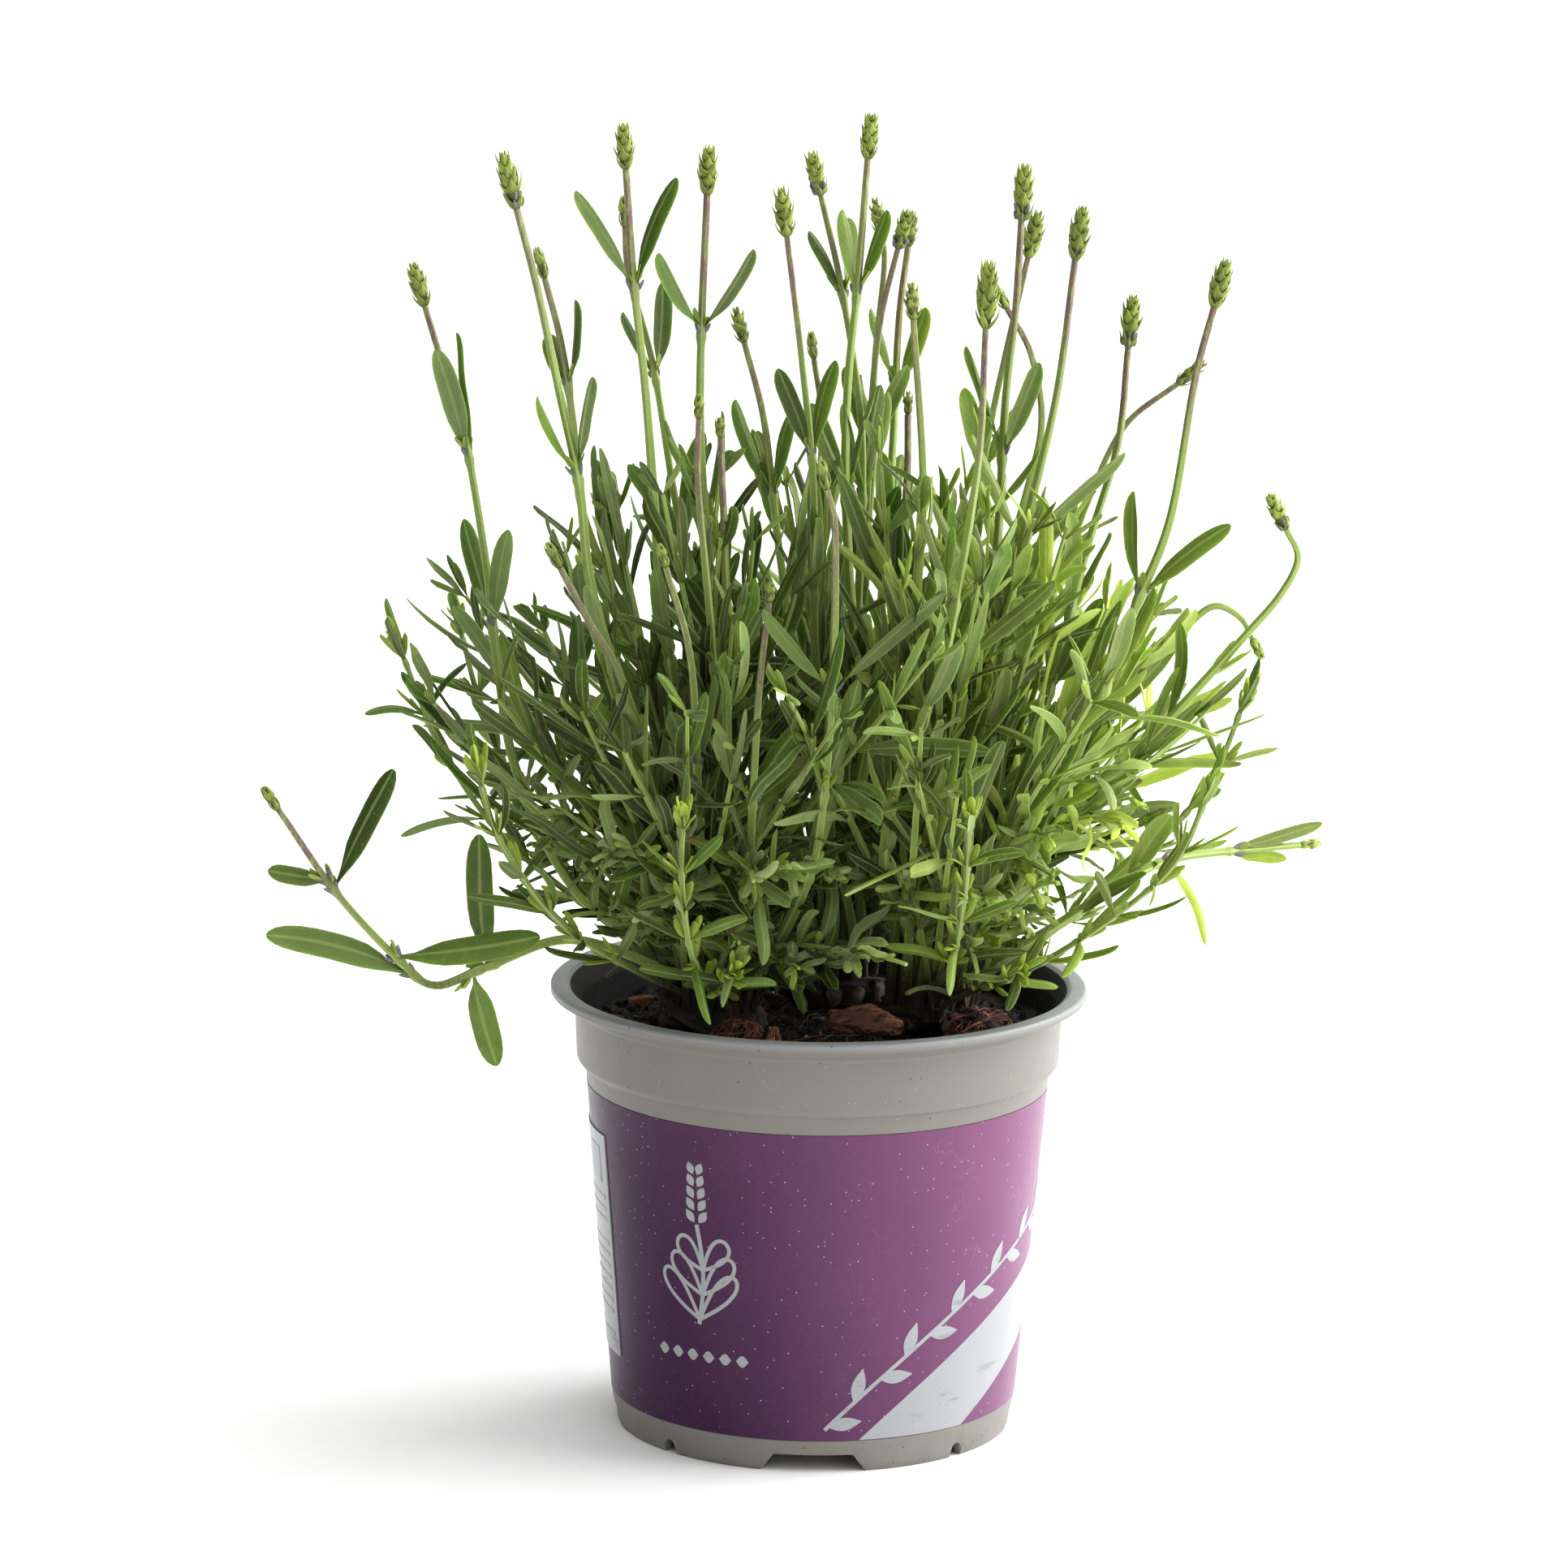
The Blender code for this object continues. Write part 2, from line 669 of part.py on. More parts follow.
    def grow_leaves(self, thicket):
        """Draws out each opening into a blade, in the first position that keeps clear. Where there
        is none, the opening is closed and that leaf is left out."""
        for opening in self.openings:
            sections = self.find_room(opening, thicket)
            ring = opening[0]
            if not sections:
                self.faces.append(ring)
                continue
            for section in sections[:-1]:
                start = len(self.points)
                self.points += section
                fresh = (start, start + 1, start + 2, start + 3)
                for k in range(4):
                    j = (k + 1) % 4
                    self.faces.append((ring[k], ring[j], fresh[j], fresh[k]))
                ring = fresh
            self.points.append(sections[-1][0])
            for k in range(4):
                self.faces.append((ring[k], ring[(k + 1) % 4], len(self.points) - 1))

    def find_room(self, opening, thicket):
        """The leaf's sections, turned or at last shortened until its swollen shape is clear, or None."""
        quad, _, _, pair = opening
        root = [self.points[i] for i in quad]
        out = (root[1] - root[0]).cross(root[3] - root[0]).normalized()
        root = [p + out * CLEARANCE for p in root]
        own = BVHTree.FromPolygons(self.points, self.faces)
        for share, turn, yaw in itertools.product(LEAF_SHARES, LEAF_LEANS, LEAF_YAWS):
            pitch = max(7.0, pair.spread + turn)
            tried = self.blade(opening, pitch, yaw, share, 2 * CLEARANCE)
            if own.overlap(BVHTree.FromPolygons(*blade_skin(tried))):
                continue
            if thicket.clears(*blade_skin([root, *tried])):
                return self.blade(opening, pitch, yaw, share, 0.0)
        return None


def blade_skin(sections):
    """A closed skin over leaf sections, the last of which is the tip."""
    points = [p for section in sections[:-1] for p in section] + [sections[-1][0]]
    faces = [(0, 1, 2, 3)]
    for i in range(len(sections) - 2):
        for k in range(4):
            j = (k + 1) % 4
            faces.append((4 * i + k, 4 * i + j, 4 * i + 4 + j, 4 * i + 4 + k))
    last = len(points) - 5
    faces += [(last + k, last + (k + 1) % 4, len(points) - 1) for k in range(4)]
    return points, faces


def crown_slots(side):
    """Places for stems on a crown: a hexagonal pattern about its middle."""
    centre = crown_centre(side)
    made = []
    for i in range(-3, 4):
        for j in range(-3, 4):
            x = SLOT_PITCH * (i + 0.5 * j)
            y = SLOT_PITCH * j * math.sqrt(0.75)
            if math.hypot(x, y) <= CROWN_RADIUS - STEM_HALF - CROWN_EDGE:
                made.append(centre + Vector((x, y, stem_start)))
    return made


def slots_by_nearness(stem, free):
    """The free places on the stem's crown, nearest first to the side that the stem leans to."""
    centre = crown_centre(stem.crown)
    x, y, _ = stem.route[0]
    away = Vector((x, y, 0.0)) - centre
    goal = centre + away.normalized() * min(CROWN_RADIUS, away.length * 0.5)
    return sorted(free[stem.crown], key=lambda s: (s.xy - goal.xy).length)


def lean(stem):
    """How far out a stem leans over its first stretch, for each unit that it rises."""
    x, y, height = stem.route[0]
    return (Vector((x, y, 0.0)) - crown_centre(stem.crown)).length / height


def route_from(stem, start, nudge):
    """A smooth route from a place on the crown, its lower points moved by a nudge."""
    given = [Vector((x, y, soil_top + height)) for x, y, height in stem.route]
    moved = [p + Vector(nudge) for p in given[:-1]] + given[-1:]
    return smooth_route([start, start + Vector((0.0, 0.0, UPRIGHT_START)), *moved], 7.0)


def find_route(stem, free, thicket):
    """The stem's sprig in the first place and on the first route that keep clear of the others."""
    slots = slots_by_nearness(stem, free)
    for nudge in ROUTE_NUDGES:
        for slot in slots[:SLOT_TRIES]:
            sprig = Sprig(route_from(stem, slot, nudge), stem.pairs, stem.spike)
            if thicket.clears(*sprig.stalk_skin(1.5 * CLEARANCE)):
                free[stem.crown].remove(slot)
                return sprig
    return Sprig(route_from(stem, slots[0], (0.0, 0.0, 0.0)), stem.pairs, stem.spike)


def plant_stems(stems, thicket):
    """Makes one object for each stem: stalks first, then leaves in the room left between them."""
    free = {side: crown_slots(side) for side in CROWN_TURN}
    sprigs = {}
    for name in sorted(stems, key=lambda n: -lean(stems[n])):
        stem = stems[name]
        thicket.look_from(name)
        sprig = find_route(stem, free, thicket)
        sprig.build_stalk()
        sprig.finish_tip()
        sprigs[name] = sprig
        thicket.put(name, list(sprig.points), list(sprig.faces))
    green = material("lavender_green", (0.16, 0.27, 0.07), 0.6)
    for name in stems:
        sprig = sprigs[name]
        thicket.look_from(name)
        sprig.grow_leaves(thicket)
        thicket.put(name, sprig.points, sprig.faces)
        add_object(name, sprig.points, sprig.faces, green, smooth=35.0)


def leafy(crown, route, count, length, spread=48.0, bend=12.0, width=3.6, turn=0.0):
    """A shoot without flowers: pairs of leaves along it, each a quarter turn on from the last."""
    pairs = []
    for k in range(count):
        share = k / (count - 1)
        size = length * (0.72 + 0.28 * math.sin(math.pi * min(1.0, 0.25 + share)))
        at = 0.30 + 0.64 * share
        pairs.append(
            Pair(
                at, turn + 90.0 * k, (size, 0.94 * size), spread - 14.0 * share, width, bend,
                short=True,
            )
        )
    return Stem(crown, route, 0.0, pairs)


def flower_stems():
    """The flower stems: crown, route, length of the spike, leaf pairs."""
    low_left = [(-40, -26, 20), (-60, -31, 27), (-79, -40, 22), (-91, -42, 18), (-100, -43, 25),
                (-114, -45, 41), (-127, -48, 61)]
    low_left_leaves = [
        Pair(0.47, 90, (31, 0), 106, 6.0, rise=9.0),
        Pair(0.50, 90, (24, 0), 84, 6.0, rise=-9.0),
        Pair(0.62, 180, (35, 0), 26, 6.6, rise=-2.0),
        Pair(0.655, 0, (34, 0), 128, 6.6, rise=1.0),
        Pair(0.825, 0, (32, 0), 62, 5.0, rise=0.4),
        Pair(0.86, 180, (16, 0), 42, 5.0, rise=-0.4),
    ]
    low_right = [(44, -8, 18), (59, -8, 28), (75, -8, 39), (86, 0, 42), (102, 10, 42), (117, 17, 42)]
    low_right_leaves = [
        Pair(0.50, 0, (18, 0), 28, 5.4, rise=9.0),
        Pair(0.55, 0, (24, 0), 40, 3.6, 50.0, rise=-6.0),
        Pair(0.84, 0, (32, 14), 9, 3.8, rise=5.0),
    ]
    return [
        Stem("left", low_left, 7, low_left_leaves),
        Stem("left", [(-58, -4, 32), (-73, 0, 60), (-78, 0, 86), (-81, 2, 111), (-86, 2, 141),
                      (-90, 2, 154), (-96, 5, 173)], 11, [Pair(0.80, 60, (28, 26), 9, 5.0)]),
        Stem("left", [(-33, -18, 40), (-45, -22, 76), (-55, -22, 110), (-58, -25, 135),
                      (-63, -25, 158), (-68, -25, 181), (-73, -25, 200)], 14,
             [Pair(0.45, 100, (26, 24), 30), Pair(0.68, 20, (22, 20), 18)]),
        Stem("back", [(-28, 10, 50), (-44, 16, 88), (-58, 18, 120), (-61, 18, 144),
                      (-64, 18, 163), (-68, 20, 178)], 8, [Pair(0.86, -20, (20, 12), 14)]),
        Stem("left", [(-26, -9, 40), (-34, -10, 74), (-39, -10, 110), (-41, -10, 133),
                      (-43, -10, 156), (-46, -10, 182), (-48, -10, 208)], 11,
             [Pair(0.42, 95, (28, 28), 28), Pair(0.86, 8, (27, 26), 24)]),
        Stem("back", [(-14, 24, 50), (-26, 25, 84), (-33, 25, 108), (-37, 25, 128),
                      (-42, 25, 157), (-48, 25, 179), (-49, 25, 190)], 8,
             [Pair(0.80, -15, (22, 16), 16)]),
        Stem("left", [(-24, -4, 50), (-27, -1, 80), (-28, 0, 112), (-30, 0, 143), (-30, 0, 169),
                      (-29, 0, 201)], 12, [Pair(0.83, 0, (22, 20), 32)]),
        Stem("left", [(-22, -18, 50), (-27, -30, 106), (-30, -30, 136), (-30, -30, 152)], 6,
             [Pair(0.60, 30, (20, 20), 30)]),
        Stem("back", [(-10, 0, 50), (-20, -14, 86), (-23, -20, 107), (-24, -20, 127),
                      (-25, -20, 146)], 5, [Pair(0.65, 150, (20, 20), 30)]),
        Stem("back", [(-1, 28, 50), (-8, 30, 92), (-12, 30, 119), (-15, 30, 143),
                      (-20, 30, 162)], 9, [Pair(0.76, 170, (24, 20), 16)]),
        Stem("back", [(2, 14, 50), (-2, 0, 92), (-3, -5, 133), (-6, -5, 162), (-10, -5, 192)], 12,
             [Pair(0.72, 30, (22, 22), 18)]),
        Stem("back", [(6, 22, 50), (8, 20, 90), (9, 20, 125), (8, 20, 149), (3, 20, 178),
                      (-2, 20, 199)], 11, [Pair(0.87, 10, (18, 17), 14)]),
        Stem("right", [(16, 6, 50), (8, 10, 90), (5, 10, 127), (5, 10, 154), (7, 10, 178),
                       (9, 10, 209)], 11, [Pair(0.84, -10, (20, 19), 14)]),
        Stem("back", [(7, 38, 50), (10, 50, 100), (12, 55, 132), (12, 55, 154), (14, 55, 178),
                      (13, 55, 186)], 9, [Pair(0.70, 60, (20, 20), 25)]),
        Stem("back", [(9, 32, 50), (10, 38, 100), (11, 40, 142), (13, 40, 166), (17, 40, 184)], 10,
             [Pair(0.72, -30, (22, 20), 22)]),
        Stem("back", [(12, 44, 50), (15, 60, 100), (17, 68, 132), (18, 70, 162), (20, 70, 181)], 9,
             [Pair(0.80, 20, (20, 20), 20)]),
        Stem("right", [(26, -8, 40), (24, -12, 72), (22, -15, 103), (23, -15, 135),
                       (20, -15, 174)], 9, [Pair(0.57, 15, (26, 26), 28)]),
        Stem("back", [(13, 30, 50), (18, 34, 90), (20, 35, 127), (20, 35, 144)], 6,
             [Pair(0.70, 60, (18, 18), 24)]),
        Stem("back", [(24, 34, 50), (40, 42, 90), (50, 45, 125), (53, 45, 142), (50, 45, 158),
                      (44, 45, 169)], 7, [Pair(0.60, 0, (24, 22), 30)]),
        Stem("right", [(20, -14, 30), (15, -32, 44), (17, -42, 66), (27, -50, 96), (31, -50, 117),
                       (35, -52, 148), (36, -52, 177)], 16, [Pair(0.65, 25, (24, 22), 30)]),
        Stem("right", [(36, 2, 50), (40, 10, 90), (42, 15, 120), (43, 15, 150), (45, 15, 172),
                       (46, 15, 194)], 14, [Pair(0.70, 150, (26, 24), 22)]),
        Stem("back", [(22, 34, 50), (32, 42, 90), (40, 50, 136), (44, 50, 157), (49, 50, 181)], 12,
             [Pair(0.70, 30, (20, 20), 24)]),
        Stem("right", [(34, -8, 40), (40, -10, 72), (43, -10, 95), (46, -10, 117), (54, -10, 154),
                       (58, -10, 188)], 13, [Pair(0.62, 0, (32, 28), 36)]),
        Stem("right", [(42, 8, 40), (54, 20, 74), (64, 30, 112), (71, 30, 138), (73, 30, 162)], 13,
             [Pair(0.60, 60, (24, 24), 28)]),
        Stem("back", [(30, 36, 40), (46, 50, 76), (58, 60, 98), (65, 60, 118), (74, 60, 138),
                      (87, 60, 149)], 9, [Pair(0.55, 120, (24, 22), 30)]),
        Stem("right", [(40, -10, 24), (50, -20, 46), (64, -25, 82), (73, -25, 107), (81, -25, 129),
                       (86, -25, 162), (90, -25, 179)], 12, [Pair(0.62, 10, (26, 24), 28)]),
        Stem("right", [(44, 0, 30), (62, 5, 48), (84, 10, 74), (101, 10, 94), (110, 10, 105),
                       (114, 10, 114), (111, 10, 121)], 10, [Pair(0.50, 90, (26, 24), 30)]),
        Stem("right", [(46, 14, 34), (64, 34, 58), (80, 44, 80), (91, 45, 92), (97, 45, 96),
                       (103, 45, 93), (106, 45, 88)], 6, [Pair(0.70, 90, (24, 22), 20)]),
        Stem("left", [(-10, -26, 26), (-3, -44, 46), (0, -54, 66), (2, -58, 97), (2, -58, 130),
                      (0, -58, 140)], 8, [Pair(0.68, 0, (34, 24), 44)]),
        Stem("back", [(1, 32, 50), (-1, 42, 100), (-1, 45, 140), (-3, 45, 156)], 7,
             [Pair(0.70, 45, (20, 20), 22)]),
        Stem("left", [(-33, -18, 36), (-40, -28, 66), (-48, -35, 92), (-55, -35, 104),
                      (-62, -35, 117)], 7, [Pair(0.62, 90, (20, 20), 30)]),
        Stem("left", [(-18, -26, 26), (-17, -44, 46), (-16, -54, 72), (-15, -55, 93),
                      (-13, -55, 113)], 5, [Pair(0.60, 10, (22, 20), 26)]),
        Stem("left", [(-28, -24, 34), (-29, -38, 60), (-31, -50, 98), (-37, -50, 120)], 6,
             [Pair(0.60, 60, (20, 20), 28)]),
        Stem("right", low_right, 6, low_right_leaves),
    ]


def with_lower_pair(stem):
    """Adds a pair low on the stalk, a quarter turn from the pair above, where there is none."""
    first = min(stem.pairs, key=lambda p: p.at)
    if first.at > LOWER_PAIR_AT + 0.12:
        stem.pairs.append(Pair(LOWER_PAIR_AT, first.turn + 90.0, (26, 24), 34))
    return stem


def leafy_shoots():
    """The shoots without flowers that the tool set keeps as solids of their own."""
    return [
        leafy("left", [(-50, -4, 24), (-76, 2, 44), (-92, 6, 66), (-103, 8, 92)], 6, 22),
        leafy("left", [(-42, -28, 18), (-60, -48, 34), (-74, -62, 56), (-80, -68, 76)], 6, 20),
        leafy("left", [(-26, -34, 16), (-30, -58, 30), (-32, -78, 50), (-32, -90, 70)], 6, 20),
        leafy("right", [(30, -26, 18), (32, -54, 34), (33, -80, 54), (33, -97, 72)], 6, 20),
        leafy("right", [(48, -22, 18), (66, -40, 34), (82, -54, 52), (90, -60, 72)], 6, 20),
        leafy("right", [(52, 0, 20), (76, 8, 38), (94, 12, 58), (103, 14, 80)], 6, 20),
        leafy("back", [(22, 44, 22), (42, 66, 44), (54, 82, 72), (60, 90, 96)], 6, 22),
        leafy("back", [(4, 50, 20), (2, 74, 40), (0, 90, 68), (0, 97, 92)], 6, 22),
        leafy("back", [(-16, 42, 22), (-36, 62, 44), (-52, 78, 72), (-60, 86, 98)], 6, 22),
        leafy("left", [(-48, 6, 20), (-68, 22, 42), (-82, 34, 66), (-90, 40, 92)], 6, 22),
        leafy("left", [(-24, -28, 14), (-22, -46, 20), (-20, -58, 26)], 4, 16, spread=60),
        leafy("right", [(38, -22, 14), (44, -38, 20), (47, -50, 25)], 4, 16, spread=60),
        leafy("back", [(-4, 22, 50), (-8, 18, 80), (-12, 14, 100)], 5, 26, spread=32, width=4.2),
        leafy("right", [(38, 10, 40), (48, 24, 70), (54, 32, 96)], 5, 26, spread=32, width=4.2),
    ]


def water_gap():
    """The free space over the soil at the front, as a closed box that the leaves keep out of."""
    low, high = WATER_GAP_X
    front = math.sqrt(inner_radius(soil_top) ** 2 - max(-low, high) ** 2) - 2 * CLEARANCE
    outline = [(low, soil_top), (high, soil_top), (high, POT_HEIGHT), (low, POT_HEIGHT)]
    return prism(outline, WATER_GAP_DEPTH, Matrix.Translation((0.0, -front, 0.0)))


def pot_skin():
    """The pot and the soil as the leaves meet them: the outside, the rim and the soil's top."""
    outline = [
        (FOOT_RADIUS, 0.0),
        (wall_radius(FILM_TOP), FILM_TOP),
        (collar_radius, collar_top),
        (RIM_RADIUS, POT_HEIGHT - LIP_FACE),
        (RIM_RADIUS, POT_HEIGHT),
        (RIM_RADIUS - FLANGE_WIDTH - LIP_EDGE, POT_HEIGHT),
        (collar_radius - WALL - CLEARANCE, collar_top),
        (inner_radius(soil_top) - CLEARANCE, soil_top),
    ]
    rings = [circle(r, z, POT_SIDES) for r, z in outline]
    return ring_solid(rings, Vector((0.0, 0.0, 0.0)), Vector((0.0, 0.0, soil_top)))


def main():
    for old in list(bpy.data.objects):
        bpy.data.objects.remove(old, do_unlink=True)

    make_pot()
    make_label()
    make_care_panel()
    make_soil()

    thicket = Thicket()
    thicket.put("pot", *pot_skin())
    thicket.put("water gap", *water_gap())
    solids = [make_crown(side, seed) for seed, side in enumerate(CROWN_TURN)]
    roots = material("roots", (0.13, 0.06, 0.035), 0.9)
    bark = material("bark", (0.16, 0.07, 0.045), 0.85)
    solids.append(lump("root_tangle_left", (-19.0, -31.0), (7.0, 6.0), 6.5, 4.0, roots))
    solids.append(lump("root_tangle_right", (39.0, -29.0), (10.0, 8.0), 8.0, 9.0, roots))
    solids.append(chip("bark_chip", (18.0, 8.0, 4.0), (11.0, -38.0), -18.0, bark))
    solids.append(chip("bark_crumb", (7.0, 4.0, 2.6), (-43.0, 14.0), 40.0, bark))
    for made in solids:
        points = [v.co / MM for v in made.data.vertices]
        thicket.put(made.name, points, [tuple(p.vertices) for p in made.data.polygons])

    stems = {}
    for number, stem in enumerate(flower_stems(), 1):
        stems[f"flower_stem_{number:02d}"] = with_lower_pair(stem)
    for number, stem in enumerate(leafy_shoots(), 1):
        stems[f"leafy_shoot_{number:02d}"] = stem
    plant_stems(stems, thicket)


main()
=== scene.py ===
"""Potted lavender: the detailed visual pieces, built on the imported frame.

Sizes are in millimetres and become metres in Shell.build. The frame stands on the pot's axis at the
floor, with +Z up and -Y towards the front of the label.
"""
import itertools
import logging
import math
from dataclasses import dataclass, field, fields
from enum import Enum

import bpy
import numpy as np
from mathutils import Matrix, Vector


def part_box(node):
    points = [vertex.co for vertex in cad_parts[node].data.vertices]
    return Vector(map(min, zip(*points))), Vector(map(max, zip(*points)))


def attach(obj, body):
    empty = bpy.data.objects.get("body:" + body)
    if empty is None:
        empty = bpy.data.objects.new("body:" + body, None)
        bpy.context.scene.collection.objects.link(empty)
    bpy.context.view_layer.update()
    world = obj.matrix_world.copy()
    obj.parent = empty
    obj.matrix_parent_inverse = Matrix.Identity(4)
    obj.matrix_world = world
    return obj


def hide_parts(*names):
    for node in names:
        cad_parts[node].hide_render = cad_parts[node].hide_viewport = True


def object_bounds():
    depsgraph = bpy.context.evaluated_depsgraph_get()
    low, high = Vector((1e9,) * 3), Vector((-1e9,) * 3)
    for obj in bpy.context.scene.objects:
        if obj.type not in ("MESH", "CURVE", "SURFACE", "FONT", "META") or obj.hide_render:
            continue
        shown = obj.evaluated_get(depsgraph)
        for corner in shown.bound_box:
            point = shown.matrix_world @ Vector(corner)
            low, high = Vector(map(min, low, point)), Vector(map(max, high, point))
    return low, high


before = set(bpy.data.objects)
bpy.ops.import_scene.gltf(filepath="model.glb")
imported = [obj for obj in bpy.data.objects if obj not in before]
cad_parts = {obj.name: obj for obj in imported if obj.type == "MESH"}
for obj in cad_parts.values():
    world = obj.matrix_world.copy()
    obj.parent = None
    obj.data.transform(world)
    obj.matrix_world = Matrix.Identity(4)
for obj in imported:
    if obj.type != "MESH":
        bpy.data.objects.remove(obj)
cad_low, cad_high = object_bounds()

log = logging.getLogger("lavender")
Array = np.ndarray
Random = np.random.Generator
MM = 0.001
TURN = 2.0 * math.pi


# ---------------------------------------------------------------- numbers and curves


def ease(value: Array, low: float, high: float) -> Array:
    """Smooth rise from 0 at low to 1 at high: 3t^2 - 2t^3 of the clipped share t."""
    share = np.clip((np.asarray(value, float) - low) / (high - low), 0.0, 1.0)
    return share * share * (3.0 - 2.0 * share)


def unit(vectors: Array) -> Array:
    """Vectors divided by their lengths."""
    return vectors / np.maximum(np.linalg.norm(vectors, axis=-1, keepdims=True), 1e-12)


def circle(count: int) -> Array:
    """Even angles round a full turn."""
    return np.arange(count) * TURN / count


def around(radius: Array, angle: Array, height: Array) -> Array:
    """Points at a radius and an angle about Z, and a height."""
    flat = [radius * np.cos(angle), radius * np.sin(angle), height + 0.0 * (radius * angle)]
    return np.stack(flat, axis=-1)


def lattice_noise(points: Array, seed: int) -> Array:
    """Value noise between -1 and 1.

    Each corner of a unit lattice holds a number mixed from its whole coordinates. A point takes the
    eight numbers round it, each weighted by the smooth cubic share of its distance on each axis.

    Args:
        points: positions, with x, y and z last.
        seed: picks another pattern.

    Returns:
        One value for each point.
    """
    cell = np.floor(points).astype(np.int64)
    part = points - cell
    blend = part * part * (3.0 - 2.0 * part)
    total = np.zeros(points.shape[:-1])
    for corner in itertools.product((0, 1), repeat=3):
        key = cell + np.array(corner)
        mixed = key[..., 0] * 374761393 + key[..., 1] * 668265263 + key[..., 2] * 1440662683
        mixed = (mixed + seed * 974711) & 0x7FFFFFFF
        mixed = ((mixed ^ (mixed >> 13)) * 1274126177) & 0x7FFFFFFF
        value = ((mixed ^ (mixed >> 16)) & 0xFFFF) / 32767.5 - 1.0
        total += value * np.prod(np.where(np.array(corner) == 1, blend, 1.0 - blend), axis=-1)
    return total


def fractal(points: Array, size: float, octaves: int, seed: int) -> Array:
    """Noise of a size in millimetres, with each octave half the size and half the height."""
    return sum(lattice_noise(points * (2.0**k / size), seed + k) * 0.5**k for k in range(octaves))


def smooth_path(given: Array, count: int) -> Array:
    """Catmull-Rom curve through the given points, read again at even steps of its length.

    Between points b and c, with neighbours a and d, the curve is half of
    2b + (c - a)t + (2a - 5b + 4c - d)t^2 + (3b - a - 3c + d)t^3.
    """
    ends = np.vstack([2 * given[0] - given[1], given, 2 * given[-1] - given[-2]])
    where = np.linspace(0.0, len(given) - 1.0, 12 * count)
    k = np.minimum(where.astype(int), len(given) - 2)
    t = (where - k)[:, None]
    a, b, c, d = ends[k], ends[k + 1], ends[k + 2], ends[k + 3]
    curve = 0.5 * (2 * b + (c - a) * t + (2 * a - 5 * b + 4 * c - d) * t**2
                   + (3 * b - a - 3 * c + d) * t**3)
    past = lengths(curve)
    even = np.linspace(0.0, past[-1], count)
    return np.stack([np.interp(even, past, curve[:, i]) for i in range(3)], axis=-1)


def lengths(path: Array) -> Array:
    """Length of a path up to each of its points."""
    steps = np.linalg.norm(np.diff(path, axis=0), axis=1)
    return np.concatenate([[0.0], np.cumsum(steps)])


def directions(paths: Array) -> tuple[Array, Array, Array]:
    """Directions along each path and two across it, none of which turns about the path.

    The first direction across is the normal of the path's best plane, from its singular vectors,
    less its share along the path.

    Args:
        paths: (paths, stations, 3).

    Returns:
        The directions along, aside and across, each (paths, stations, 3).
    """
    along = unit(np.gradient(paths, axis=-2))
    centred = paths - paths.mean(axis=-2, keepdims=True)
    plane = np.linalg.svd(centred, full_matrices=False)[2][:, 2:3, :]
    aside = unit(plane - along * np.sum(plane * along, axis=-1, keepdims=True))
    return along, aside, np.cross(along, aside)


def sweep(paths: Array, radii: Array, ring: int, ridge: float = 0.0) -> Array:
    """Tubes carried along paths: a circle with four ridges, radius r(1 - ridge cos 4a) at angle a.

    Args:
        paths: (paths, stations, 3).
        radii: (paths, stations).
        ring: points round each tube.
        ridge: height of the four ridges as a share of the radius.

    Returns:
        Grids, (paths, stations, ring, 3).
    """
    _, aside, across = directions(paths)
    angle = circle(ring)
    reach = radii[..., None] * (1.0 - ridge * np.cos(4.0 * angle))
    return (paths[:, :, None] + aside[:, :, None] * (reach * np.cos(angle))[..., None]
            + across[:, :, None] * (reach * np.sin(angle))[..., None])


def revolve(profile: Array, segments: int) -> Array:
    """One closed grid of a (radius, height) profile turned about Z, from below and up the outside."""
    return around(profile[:, :1], circle(segments), profile[:, 1:])[None]


def rounded(profile: list[tuple[float, float]], radius: float, steps: int = 4) -> Array:
    """A profile whose inner corners are rounded by a quadratic curve within a radius of each."""
    points = np.array(profile, float)
    made = [points[:1]]
    t = np.linspace(0.0, 1.0, steps)[:, None]
    for before, corner, after in zip(points, points[1:], points[2:]):
        back, ahead = before - corner, after - corner
        start = corner + back * min(radius / np.linalg.norm(back), 0.45)
        end = corner + ahead * min(radius / np.linalg.norm(ahead), 0.45)
        made.append((1 - t) ** 2 * start + 2 * t * (1 - t) * corner + t * t * end)
    return np.vstack([*made, points[-1:]])


# ---------------------------------------------------------------- meshes


